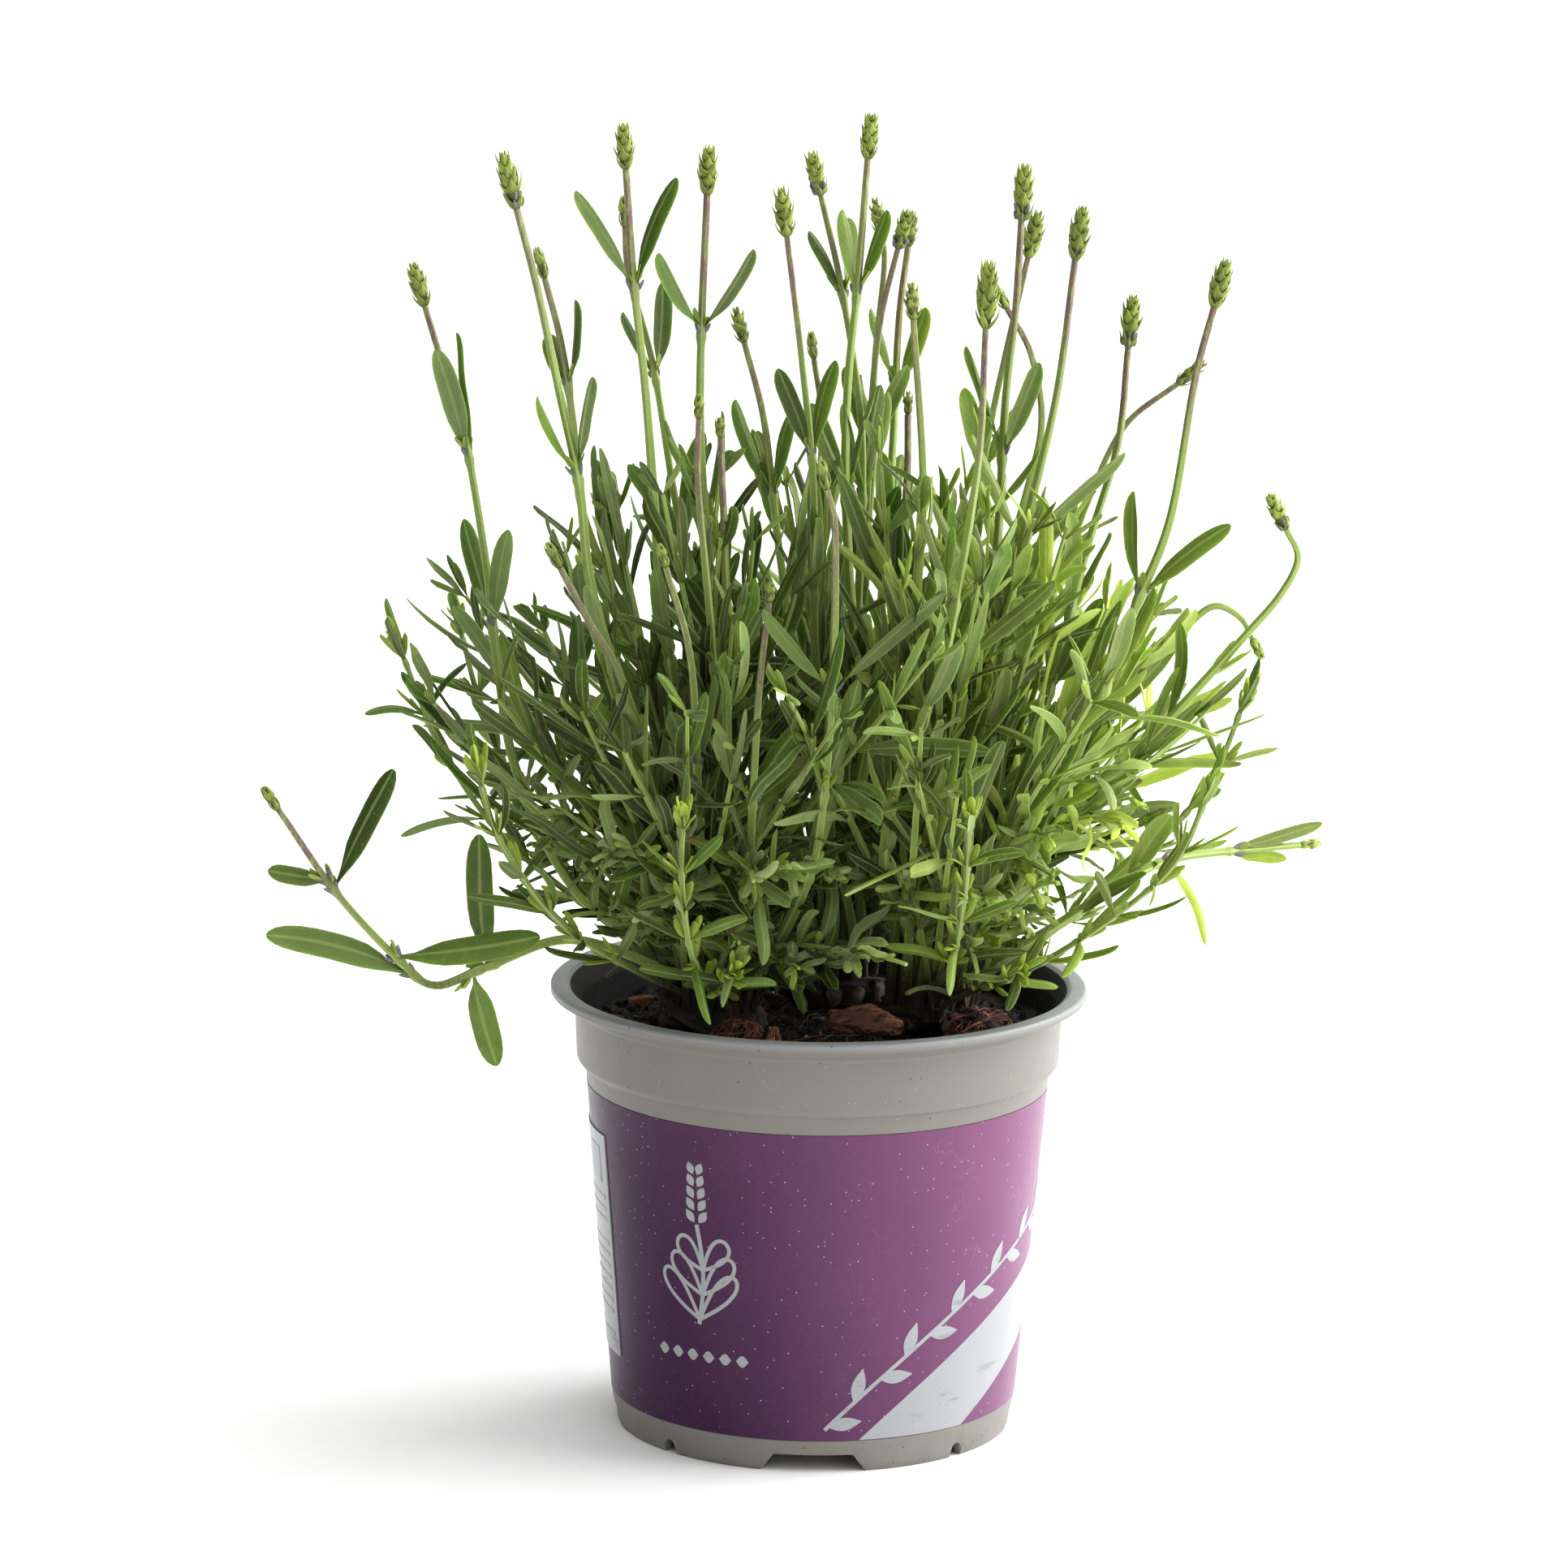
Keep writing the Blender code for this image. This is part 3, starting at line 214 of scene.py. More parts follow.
@dataclass
class Shell:
    """The points and faces of one piece while it is being made, all of it closed tubes."""

    parts: list = field(default_factory=list)
    count: int = 0

    def add(self, grid: Array, tint: Array | tuple = (0.5, 0.0, 0.0), finish: int = 0,
            hoop: bool = False) -> None:
        """Adds closed tubes: quads between the rings, and one face over each end.

        Args:
            grid: (tubes, stations, ring, 3), each ring anticlockwise as seen from ahead.
            tint: three numbers for the material, of any shape that spreads over the grid.
            finish: index of the material.
            hoop: joins each tube's last ring to its first instead of covering the ends.
        """
        tubes, stations, ring = grid.shape[:3]
        index = self.count + np.arange(tubes * stations * ring).reshape(tubes, stations, ring)
        rows = np.concatenate([index, index[:, :1]], axis=1) if hoop else index
        beside = np.roll(rows, -1, axis=2)
        quads = np.stack([rows[:, :-1], beside[:, :-1], beside[:, 1:], rows[:, 1:]], axis=-1)
        along = np.arange(rows.shape[1]) / (rows.shape[1] - 1)
        flat = np.stack(np.meshgrid(np.arange(ring + 1) / ring, along), axis=-1)
        patch = np.stack([flat[:-1, :-1], flat[:-1, 1:], flat[1:, 1:], flat[1:, :-1]], axis=2)
        corners, sizes = [quads.reshape(-1)], [np.full(quads.size // 4, 4)]
        places = [np.tile(patch.reshape(-1, 2), (tubes, 1))]
        if not hoop:
            corners += [index[:, 0, ::-1].reshape(-1), index[:, -1].reshape(-1)]
            sizes.append(np.full(2 * tubes, ring))
            places += [np.tile(flat[0, :-1][::-1], (tubes, 1)), np.tile(flat[-1, :-1], (tubes, 1))]
        tints = np.broadcast_to(np.asarray(tint, float), grid.shape).reshape(-1, 3)
        sizes = np.concatenate(sizes)
        self.parts.append((grid.reshape(-1, 3), np.concatenate(corners), sizes,
                           np.concatenate(places), tints, np.full(len(sizes), finish)))
        self.count += tubes * stations * ring

    def build(self, name: str, finishes: list, sharp: float = 60.0) -> bpy.types.Object:
        """Makes the object, with its UV map and its tint attribute.

        Args:
            name: the piece's name.
            finishes: its materials.
            sharp: edges sharper than this many degrees stay hard.

        Returns:
            The object, at the origin.
        """
        points, corners, sizes, places, tints, kinds = (np.concatenate(p) for p in zip(*self.parts))
        mesh = bpy.data.meshes.new(name)
        mesh.vertices.add(len(points))
        mesh.vertices.foreach_set("co", (points * MM).ravel())
        mesh.loops.add(len(corners))
        mesh.loops.foreach_set("vertex_index", corners.astype(np.int32))
        mesh.polygons.add(len(sizes))
        mesh.polygons.foreach_set("loop_start", (np.cumsum(sizes) - sizes).astype(np.int32))
        mesh.polygons.foreach_set("material_index", kinds.astype(np.int32))
        mesh.update(calc_edges=True)
        mesh.uv_layers.new(name="Surface").data.foreach_set("uv", places.ravel())
        tint = mesh.attributes.new("tint", "FLOAT_VECTOR", "POINT")
        tint.data.foreach_set("vector", tints.ravel())
        mesh.validate()
        mesh.shade_smooth()
        mesh.set_sharp_from_angle(angle=math.radians(sharp))
        for finish in finishes:
            mesh.materials.append(finish)
        made = bpy.data.objects.new(name, mesh)
        bpy.context.scene.collection.objects.link(made)
        return made


def place(piece: bpy.types.Object, slot: str, *nodes: str) -> None:
    """Makes a piece ride on the root body and hides the imported nodes it stands for."""
    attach(piece, "root")
    if nodes:
        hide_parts(*nodes)
    log.info("%s: %d faces", piece.name, len(piece.data.polygons))


def box_of(node: str) -> tuple[Array, Array]:
    """A node's lowest and highest corners in millimetres."""
    low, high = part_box(node)
    return np.array(low) / MM, np.array(high) / MM


def middle_of(node: str) -> tuple[Array, Array]:
    """A node's middle and half its size."""
    low, high = box_of(node)
    return (low + high) / 2, (high - low) / 2


# ---------------------------------------------------------------- shader shorthand


class Term:
    """One output in a graph. Arithmetic on it makes Math nodes."""

    def __init__(self, graph: "Graph", socket: bpy.types.NodeSocket) -> None:
        """Keeps the graph and the socket."""
        self.graph, self.socket = graph, socket

    def __add__(self, other: "Term | float") -> "Term":
        """Sum."""
        return self.graph.math("ADD", self, other)

    def __sub__(self, other: "Term | float") -> "Term":
        """Difference."""
        return self.graph.math("SUBTRACT", self, other)

    def __mul__(self, other: "Term | float") -> "Term":
        """Product."""
        return self.graph.math("MULTIPLY", self, other)


class Graph:
    """Makes and joins the nodes of one tree."""

    def __init__(self, tree: bpy.types.NodeTree) -> None:
        """Keeps the tree."""
        self.tree = tree

    def terms(self, node: bpy.types.Node) -> dict:
        """A node's outputs by number and by name."""
        made = {k: Term(self, socket) for k, socket in enumerate(node.outputs)}
        return made | {socket.name: Term(self, socket) for socket in node.outputs}

    def node(self, kind: str, *values, **named) -> dict:
        """A node's outputs.

        Args:
            kind: the node's type, without its ShaderNode prefix.
            values: what its inputs take, in order.
            named: inputs by name, with _ for a space, or settings in small letters.

        Returns:
            The outputs by number and by name.
        """
        made = self.tree.nodes.new("ShaderNode" + kind)
        for name, value in named.items():
            if name[0].islower():
                setattr(made, name, value)
            else:
                self.feed(made.inputs[name.replace("_", " ")], value)
        for socket, value in zip(made.inputs, values):
            self.feed(socket, value)
        return self.terms(made)

    def feed(self, socket: bpy.types.NodeSocket, value) -> None:
        """Joins a term to an input, or sets the input's own value."""
        if isinstance(value, Term):
            self.tree.links.new(value.socket, socket)
        else:
            colour = isinstance(value, tuple) and socket.type == "RGBA"
            socket.default_value = (*value, 1.0) if colour else value

    def math(self, operation: str, *values, clamp: bool = False) -> Term:
        """One step of arithmetic."""
        return self.node("Math", *values, operation=operation, use_clamp=clamp)[0]

    def mix(self, share, first, second, blend: str = "MIX") -> Term:
        """The first colour turned into the second by a share."""
        made = self.tree.nodes.new("ShaderNodeMix")
        made.data_type, made.blend_type = "RGBA", blend
        for k, value in zip((0, 6, 7), (share, first, second)):
            self.feed(made.inputs[k], value)
        return Term(self, made.outputs[2])

    def lit(self, colour: Term, light: Term) -> Term:
        """A colour times a number."""
        grey = self.node("CombineColor", Red=light, Green=light, Blue=light)[0]
        return self.mix(1.0, colour, grey, "MULTIPLY")

    def rise(self, value: Term, low: float, high: float) -> Term:
        """0 below low, 1 above high and smooth between."""
        return self.node("MapRange", Value=value, From_Min=low, From_Max=high,
                         interpolation_type="SMOOTHSTEP")[0]

    def noise(self, where: Term, scale: float, detail: float = 3.0) -> Term:
        """Blender's fractal noise, about 0.5."""
        return self.node("TexNoise", Vector=where, Scale=scale, Detail=detail, Roughness=0.6)[0]

    def stretched(self, where: Term, scale: tuple, turn: tuple = (0.0, 0.0, 0.0)) -> Term:
        """The coordinates times a scale for each axis, and turned."""
        return self.node("Mapping", Vector=where, Scale=scale, Rotation=turn)[0]

    def parts(self, vector: Term) -> list[Term]:
        """The three numbers of a vector."""
        made = self.node("SeparateXYZ", vector)
        return [made[k] for k in range(3)]

    def group(self, group: bpy.types.NodeTree, **inputs) -> list[Term]:
        """A shared group's outputs in order."""
        made = self.tree.nodes.new("ShaderNodeGroup")
        made.node_tree = group
        for name, value in inputs.items():
            self.feed(made.inputs[name], value)
        return [Term(self, socket) for socket in made.outputs]


class Group(Graph):
    """The graph of a group that several finishes share."""

    def __init__(self, name: str, *outputs: str, **inputs) -> None:
        """Makes a group of numbers. An input is its starting number, or None for a vector."""
        super().__init__(bpy.data.node_groups.new(name, "ShaderNodeTree"))
        face = self.tree.interface
        for title, start in inputs.items():
            kind = "NodeSocketVector" if start is None else "NodeSocketFloat"
            made = face.new_socket(title, in_out="INPUT", socket_type=kind)
            if start is not None:
                made.default_value = start
        for title in outputs:
            face.new_socket(title, in_out="OUTPUT", socket_type="NodeSocketFloat")
        source = self.tree.nodes.new("NodeGroupInput").outputs
        self.given = [Term(self, source[title]) for title in inputs]

    def done(self, *values: Term) -> bpy.types.NodeTree:
        """Feeds the group's outputs in order."""
        for socket, value in zip(self.tree.nodes.new("NodeGroupOutput").inputs, values):
            self.feed(socket, value)
        return self.tree


class Effects:
    """The node groups that several finishes share."""

    def __init__(self) -> None:
        """Builds each group once."""
        self.specks = self.make_specks()
        self.scuffs = self.make_scuffs()
        self.grain = self.make_grain()
        self.blade = self.make_blade()

    def make_specks(self) -> bpy.types.NodeTree:
        """Scattered dots: cells of a Voronoi pattern whose centre is near, where noise allows."""
        g = Group("specks", "Mask", Vector=None, Scale=900.0, Size=0.16, Share=0.5)
        where, scale, size, share = g.given
        cells = g.node("TexVoronoi", Vector=where, Scale=scale)
        pick = g.node("SeparateColor", Color=cells["Color"])[0]
        near = g.math("LESS_THAN", cells["Distance"], size)
        return g.done(near * g.math("LESS_THAN", pick, share))

    def make_scuffs(self) -> bpy.types.NodeTree:
        """Thin scratches: where stretched, bent noise passes close to one level."""
        g = Group("scuffs", "Mask", Vector=None, Level=0.5, Width=0.004)
        where, level, width = g.given
        leaning = g.stretched(where, (1.0, 1.0, 1.0), (0.6, 0.5, 0.0))
        lines = g.noise(g.stretched(leaning, (260.0, 260.0, 12.0)), 1.0, 0.0)
        thin = g.math("LESS_THAN", g.math("ABSOLUTE", lines - level), width)
        return g.done(thin * g.rise(g.noise(where, 60.0, 2.0), 0.52, 0.62))

    def make_grain(self) -> bpy.types.NodeTree:
        """Coarse noise, noise six times as fine, and their sum as a height."""
        g = Group("grain", "Coarse", "Fine", "Height", Vector=None, Scale=400.0)
        where, scale = g.given
        coarse = g.node("TexNoise", Vector=where, Scale=scale, Detail=4.0)[0]
        fine = g.node("TexNoise", Vector=where, Scale=scale * 6.0, Detail=2.0)[0]
        return g.done(coarse, fine, coarse * 0.7 + fine * 0.3)

    def make_blade(self) -> bpy.types.NodeTree:
        """Parts of a blade from its UV map, where x runs round the blade and y along it.

        x is 0.25 at the midrib of the upper face and 0.75 at that of the lower face. The distance
        from the nearer midrib is |x mod 0.5 - 0.25|, which is 0.25 at the margins.
        """
        g = Group("blade", "Under", "Midrib", "Margin", "Along", "Veins", Place=None)
        x, y, _ = g.parts(g.given[0])
        folded = g.math("ABSOLUTE", g.math("MODULO", x, 0.5) - 0.25)
        midrib = g.math("SUBTRACT", 1.0, g.rise(folded, 0.005, 0.035))
        veins = g.math("SINE", (y - folded) * 70.0)
        return g.done(g.math("GREATER_THAN", x, 0.5), midrib, g.rise(folded, 0.19, 0.245), y, veins)


class Look(Graph):
    """The graph of one material."""

    def __init__(self, name: str, tone: tuple, effects: Effects) -> None:
        """Makes the material. The tone colours the viewport."""
        self.made = bpy.data.materials.new(name)
        self.made.use_nodes = True
        self.made.diffuse_color = (*tone, 1.0)
        super().__init__(self.made.node_tree)
        self.effects = effects
        coordinates = self.node("TexCoord")
        self.where, self.uv = coordinates["Object"], coordinates["UV"]

    def tint(self) -> list[Term]:
        """The three numbers that each point of a piece carries."""
        return self.parts(self.node("Attribute", attribute_name="tint")["Vector"])

    def grain(self, scale: float, stretch: tuple | None = None) -> list[Term]:
        """Coarse and fine noise and their height."""
        where = self.stretched(self.where, stretch) if stretch else self.where
        return self.group(self.effects.grain, Vector=where, Scale=scale)

    def dotted(self, face, colour: tuple, strength: float, scale: float, size: float,
               share: float) -> Term:
        """A colour with specks of another on it."""
        mask = self.group(self.effects.specks, Vector=self.where, Scale=scale, Size=size,
                          Share=share)[0]
        return self.mix(mask * strength, face, colour)

    def done(self, face: Term, rough: Term, height: Term | None = None, strength: float = 0.0,
             distance: float = 0.0, **uniform) -> bpy.types.Material:
        """Feeds the shader.

        Args:
            face: the base colour.
            rough: the roughness.
            height: what the Bump node takes, with its strength and distance.
            strength: see height.
            distance: see height.
            uniform: values of the shader's own inputs, by name with _ for a space.

        Returns:
            The material.
        """
        shader = self.tree.nodes["Principled BSDF"].inputs
        self.feed(shader["Base Color"], face)
        self.feed(shader["Roughness"], rough)
        for name, value in uniform.items():
            shader[name.replace("_", " ")].default_value = value
        if height:
            bump = self.node("Bump", Height=height, Strength=strength, Distance=distance)
            self.feed(shader["Normal"], bump[0])
        return self.made


# ---------------------------------------------------------------- finishes


@dataclass(frozen=True)
class LeafFinish:
    """Velvety narrow leaf: green above, grey below, pale at the midrib and the rolled margins."""

    name: str = "lavender_leaf"
    upper: tuple = (0.048, 0.088, 0.008)
    lower: tuple = (0.130, 0.180, 0.062)
    # The yellow of young leaves, also used as painted light on the bush's right side.
    young: tuple = (0.300, 0.375, 0.036)
    pale: tuple = (0.380, 0.460, 0.150)
    felt: tuple = (0.290, 0.340, 0.170)
    dry: tuple = (0.130, 0.080, 0.035)

    def make(self, effects: Effects) -> bpy.types.Material:
        """Builds the material. The tint is (tone, yellowing, felt), with dryness as felt below 0. Tone
        carries painted shade and light, and yellowing painted light.
        """
        g = Look(self.name, self.upper, effects)
        under, midrib, margin, along, veins = g.group(effects.blade, Place=g.uv)
        coarse, fine, height = g.grain(260.0)
        tone, youth, felt = g.tint()
        face = g.mix(under, self.upper, self.lower)
        # Yellowing: young growth, and painted light on the bush's right side.
        face = g.mix(youth * 0.9, face, self.young)
        face = g.mix(g.math("MULTIPLY", felt, 0.6, clamp=True), face, self.felt)
        # Tone: random, with painted shade deep in the bush and painted light on its right side.
        face = g.lit(face, (coarse * 0.5 + 0.65) * (tone * 1.70 + 0.32))
        for share in (midrib * 0.34, margin * 0.34, g.rise(fine, 0.58, 0.72) * 0.14):
            face = g.mix(share, face, self.pale)
        worn = g.math("MULTIPLY", felt, -1.0, clamp=True) * g.rise(along, 0.55, 0.95)
        relief = height + veins * 0.12 - midrib * 0.5
        return g.done(g.mix(worn, face, self.dry), fine * 0.3 + 0.46, relief, 0.5, 0.0003,
                      Specular_IOR_Level=0.18, Subsurface_Weight=0.20,
                      Subsurface_Radius=(0.6, 1.0, 0.25), Subsurface_Scale=0.0012)


@dataclass(frozen=True)
class StalkFinish:
    """Square stalk: green with pale ridges, purple-brown under the spike, woody at the base."""

    name: str = "lavender_stalk"
    green: tuple = (0.185, 0.265, 0.040)
    ridge: tuple = (0.420, 0.500, 0.160)
    ripe: tuple = (0.165, 0.088, 0.085)
    down: tuple = (0.450, 0.500, 0.380)
    wood: tuple = (0.040, 0.025, 0.015)
    crack: tuple = (0.025, 0.016, 0.012)

    def make(self, effects: Effects) -> bpy.types.Material:
        """Builds the material. The tint is (tone, ripeness, woodiness)."""
        g = Look(self.name, self.green, effects)
        ridges = g.rise(g.math("COSINE", g.parts(g.uv)[0] * (4.0 * TURN)) * -1.0, 0.35, 1.0)
        coarse, fine, height = g.grain(900.0, (1, 1, 0.25))
        tone, ripe, wood = g.tint()
        skin = g.lit(g.mix(ridges * 0.6, self.green, self.ridge), tone * 0.5 + 0.75)
        skin = g.mix(ripe * g.rise(coarse, 0.30, 0.55), skin, self.ripe)
        skin = g.mix(g.rise(fine, 0.55, 0.68) * 0.35, skin, self.down)
        skin = g.mix(wood, skin, self.wood)
        skin = g.mix(g.rise(coarse, 0.52, 0.60) * (wood * 0.7), skin, self.crack)
        return g.done(skin, wood * 0.3 + 0.5, height, 0.6, 0.0003, Specular_IOR_Level=0.35,
                      Sheen_Weight=0.06, Subsurface_Weight=0.15,
                      Subsurface_Radius=(0.6, 1.0, 0.3), Subsurface_Scale=0.001)


@dataclass(frozen=True)
class BractFinish:
    """Overlapping bracts: yellow-green and ribbed, paler at the edge, with purple-grey calyxes."""

    name: str = "lavender_bract"
    green: tuple = (0.205, 0.240, 0.036)
    rib: tuple = (0.135, 0.240, 0.030)
    edge: tuple = (0.500, 0.510, 0.170)
    calyx: tuple = (0.120, 0.100, 0.190)
    down: tuple = (0.500, 0.500, 0.550)
    tip: tuple = (0.220, 0.170, 0.120)

    def make(self, effects: Effects) -> bpy.types.Material:
        """Builds the material. The tint is (tone, purple, depth), where depth is painted shade."""
        g = Look(self.name, self.green, effects)
        _, midrib, margin, along, _ = g.group(effects.blade, Place=g.uv)
        ribs = g.math("COSINE", g.parts(g.uv)[0] * (18.0 * TURN))
        _, fine, height = g.grain(1200.0)
        tone, purple, deep = g.tint()
        face = g.mix(g.rise(ribs, 0.2, 1.0), self.green, self.rib)
        face = g.mix(margin * 0.75, face, self.edge)
        face = g.mix(midrib * 0.35, face, self.edge)
        # Painted shade: darker towards each bract's base, where it tucks under the next, and where
        # depth is high, as on the core.
        shade = (g.rise(along, 0.05, 0.50) * 0.50 + 0.50) * (deep * -0.8 + 1.0)
        face = g.lit(face, (tone * 0.7 + 0.65) * shade)
        face = g.mix(g.rise(along, 0.8, 1.0) * 0.55, face, self.tip)
        violet = g.mix(g.rise(fine, 0.52, 0.66), self.calyx, self.down)
        return g.done(g.mix(purple * 0.9, face, violet), fine * 0.3 + 0.4, ribs * 0.4 + height,
                      0.5, 0.0002, Specular_IOR_Level=0.25, Subsurface_Weight=0.25,
                      Subsurface_Radius=(0.8, 1.0, 0.25), Subsurface_Scale=0.001)


@dataclass(frozen=True)
class PotFinish:
    """Moulded plastic: warm grey outside, with specks, scuffs and dirt; painted shade darkens the
    inside and the foot, and a painted highlight lightens the flange.
    """

    name: str = "pot_plastic_grey"
    outside: tuple = (0.160, 0.150, 0.131)
    mottle: tuple = (0.190, 0.179, 0.158)
    # A painted highlight: the pale blue-grey of the rim's flange.
    cool: tuple = (0.235, 0.255, 0.262)
    # Painted shade: the near black of the pot's inside.
    inside: tuple = (0.012, 0.012, 0.013)
    crumb: tuple = (0.050, 0.036, 0.026)
    # Dirt, and painted shade low on the foot.
    dirt: tuple = (0.120, 0.106, 0.088)
    speck: tuple = (0.050, 0.045, 0.040)
    dust: tuple = (0.600, 0.600, 0.580)
    scuff: tuple = (0.550, 0.550, 0.520)

    def make(self, effects: Effects) -> bpy.types.Material:
        """Builds the material. The tint is (flange highlight, inside shade, unused): a painted
        highlight on the flange, painted shade inside.
        """
        g = Look(self.name, self.outside, effects)
        # The first tint number is a painted highlight on the flange, the second painted shade inside.
        cool, inner, _ = g.tint()
        coarse, fine, height = g.grain(45.0)
        wall = g.mix(cool, g.mix(coarse, self.outside, self.mottle), self.cool)
        wall = g.dotted(wall, self.speck, 0.7, 420.0, 0.13, 0.22)
        wall = g.dotted(wall, self.dust, 0.5, 700.0, 0.09, 0.2)
        scuffs = g.group(effects.scuffs, Vector=g.where, Level=0.5, Width=0.0022)[0]
        wall = g.mix(scuffs * 0.22, wall, self.scuff)
        # Darker towards the floor: dirt, and painted shade on the foot.
        low = g.math("SUBTRACT", 1.0, g.rise(g.parts(g.where)[2], 0.0, 0.009))
        wall = g.mix(low * g.rise(height, 0.45, 0.62) * 0.55, wall, self.dirt)
        crumbs = g.rise(g.noise(g.where, 350.0), 0.60, 0.66) * 0.5
        # Painted shade: the inner wall turns near black, with crumbs of soil on it.
        face = g.mix(inner, wall, g.mix(crumbs, self.inside, self.crumb))
        rough = inner * 0.34 + (fine * 0.12 + 0.36)
        return g.done(face, rough, g.noise(g.where, 1500.0, 2.0), 0.12, 0.0002)


@dataclass(frozen=True)
class FilmFinish:
    """Printed film: violet with painted light that lightens it upwards to the right, with dust and
    scratches.
    """

    name: str = "film_violet"
    # The violet in painted shade (dark) and in painted light (light).
    dark: tuple = (0.038, 0.007, 0.042)
    light: tuple = (0.188, 0.068, 0.152)
    dust: tuple = (0.580, 0.420, 0.600)
    haze: tuple = (0.320, 0.140, 0.330)
    scratch: tuple = (0.550, 0.420, 0.580)

    def make(self, effects: Effects) -> bpy.types.Material:
        """Builds the material."""
        g = Look(self.name, self.dark, effects)
        x, _, z = g.parts(g.where)
        # Painted light: lighter upwards and to the right, towards the key light.
        slope = x * 10.0 + (z * 4.0 + 0.22)
        cloud = g.noise(g.where, 16.0, 4.0) * 0.5 - 0.25
        film = g.mix(g.math("ADD", slope, cloud, clamp=True), self.dark, self.light)
        film = g.dotted(film, self.dust, 0.72, 620.0, 0.105, 0.42)
        film = g.dotted(film, self.haze, 0.35, 1500.0, 0.15, 0.50)
        scuffs = g.group(effects.scuffs, Vector=g.where, Level=0.48, Width=0.0022)[0]
        worn = scuffs * g.rise(x, -0.01, 0.05)
        rough = g.noise(g.where, 220.0) * 0.14 + 0.25
        return g.done(g.mix(worn * 0.45, film, self.scratch), rough + worn * 0.3,
                      g.noise(g.where, 900.0, 2.0), 0.1, 0.0002, Specular_IOR_Level=0.16)


@dataclass(frozen=True)
class PrintFinish:
    """Pale print on the film, rubbed and dusty. A tint's second number greys it for bars."""

    name: str = "print_pale"
    ink: tuple = (0.300, 0.310, 0.325)
    rubbed: tuple = (0.190, 0.200, 0.210)
    bar: tuple = (0.200, 0.210, 0.230)

    def make(self, effects: Effects) -> bpy.types.Material:
        """Builds the material."""
        g = Look(self.name, self.ink, effects)
        smear = g.rise(g.noise(g.stretched(g.where, (1, 1, 3)), 90.0, 4.0), 0.60, 0.70)
        face = g.mix(smear * 0.55, self.ink, self.rubbed)
        face = g.dotted(face, self.rubbed, 0.5, 600.0, 0.16, 0.25)
        face = g.mix(g.tint()[1], face, self.bar)
        return g.done(face, smear * 0.25 + 0.3, g.noise(g.where, 900.0, 2.0), 0.1, 0.0002)


class Earth(Enum):
    """Kinds of rough brown matter: name, two browns, scale of the grain and depth of relief."""

    PEAT = ("peat", (0.004, 0.003, 0.003), (0.016, 0.010, 0.007), 900.0, 1.0)
    FIBRE = ("root_fibre", (0.120, 0.040, 0.024), (0.300, 0.130, 0.080), 700.0, 0.7)
    PALE_FIBRE = ("rootlet", (0.080, 0.052, 0.034), (0.200, 0.150, 0.100), 700.0, 0.5)
    BARK = ("bark", (0.085, 0.028, 0.016), (0.300, 0.120, 0.068), 420.0, 1.0)
    GRAIN = ("pale_grain", (0.380, 0.330, 0.190), (0.600, 0.560, 0.400), 500.0, 0.6)
    WOOD = ("crown_wood", (0.016, 0.010, 0.007), (0.060, 0.038, 0.024), 500.0, 1.0)


@dataclass(frozen=True)
class EarthFinish:
    """Rough matter: two browns mixed by fibrous noise, with pale specks in the peat."""

    kind: Earth
    speck: tuple = (0.220, 0.200, 0.170)
    crack: tuple = (0.012, 0.008, 0.006)

    def make(self, effects: Effects) -> bpy.types.Material:
        """Builds the material."""
        name, dark, light, scale, relief = self.kind.value
        g = Look(name, dark, effects)
        coarse, fine, height = g.grain(scale * 0.5, (0.35, 1, 1))
        face = g.lit(g.mix(g.rise(coarse, 0.42, 0.66), dark, light), g.tint()[0] + 0.5)
        if self.kind is Earth.PEAT:
            face = g.dotted(face, self.speck, 0.5, 700.0, 0.17, 0.10)
        if self.kind in (Earth.BARK, Earth.WOOD):
            lines = g.noise(g.stretched(g.where, (0.2, 1, 1)), scale * 2.0)
            face = g.mix(g.rise(lines, 0.55, 0.62) * 0.8, face, self.crack)
        return g.done(face, fine * 0.3 + 0.65, height, relief, 0.0012)


@dataclass(frozen=True)
class FloorFinish:
    """Matt white studio floor with a very faint mottle."""

    name: str = "studio_floor"
    white: tuple = (0.90, 0.90, 0.90)
    brighter: tuple = (0.94, 0.94, 0.935)

    def make(self, effects: Effects) -> bpy.types.Material:
        """Builds the material."""
        g = Look(self.name, self.white, effects)
        coarse, fine, _ = g.grain(120.0)
        return g.done(g.mix(coarse, self.white, self.brighter), fine * 0.1 + 0.8)


class Palette:
    """All finishes, each built once."""

    def __init__(self) -> None:
        """Builds the effects and the materials."""
        effects = Effects()
        self.leaf = LeafFinish().make(effects)
        self.pot = PotFinish().make(effects)
        self.film = FilmFinish().make(effects)
        self.print = PrintFinish().make(effects)
        self.earth = {kind: EarthFinish(kind).make(effects) for kind in Earth}
        self.floor = FloorFinish().make(effects)
        self.plant = [StalkFinish().make(effects), self.leaf, BractFinish().make(effects)]


STALK, LEAF, BRACT = range(3)


# ---------------------------------------------------------------- pot and label


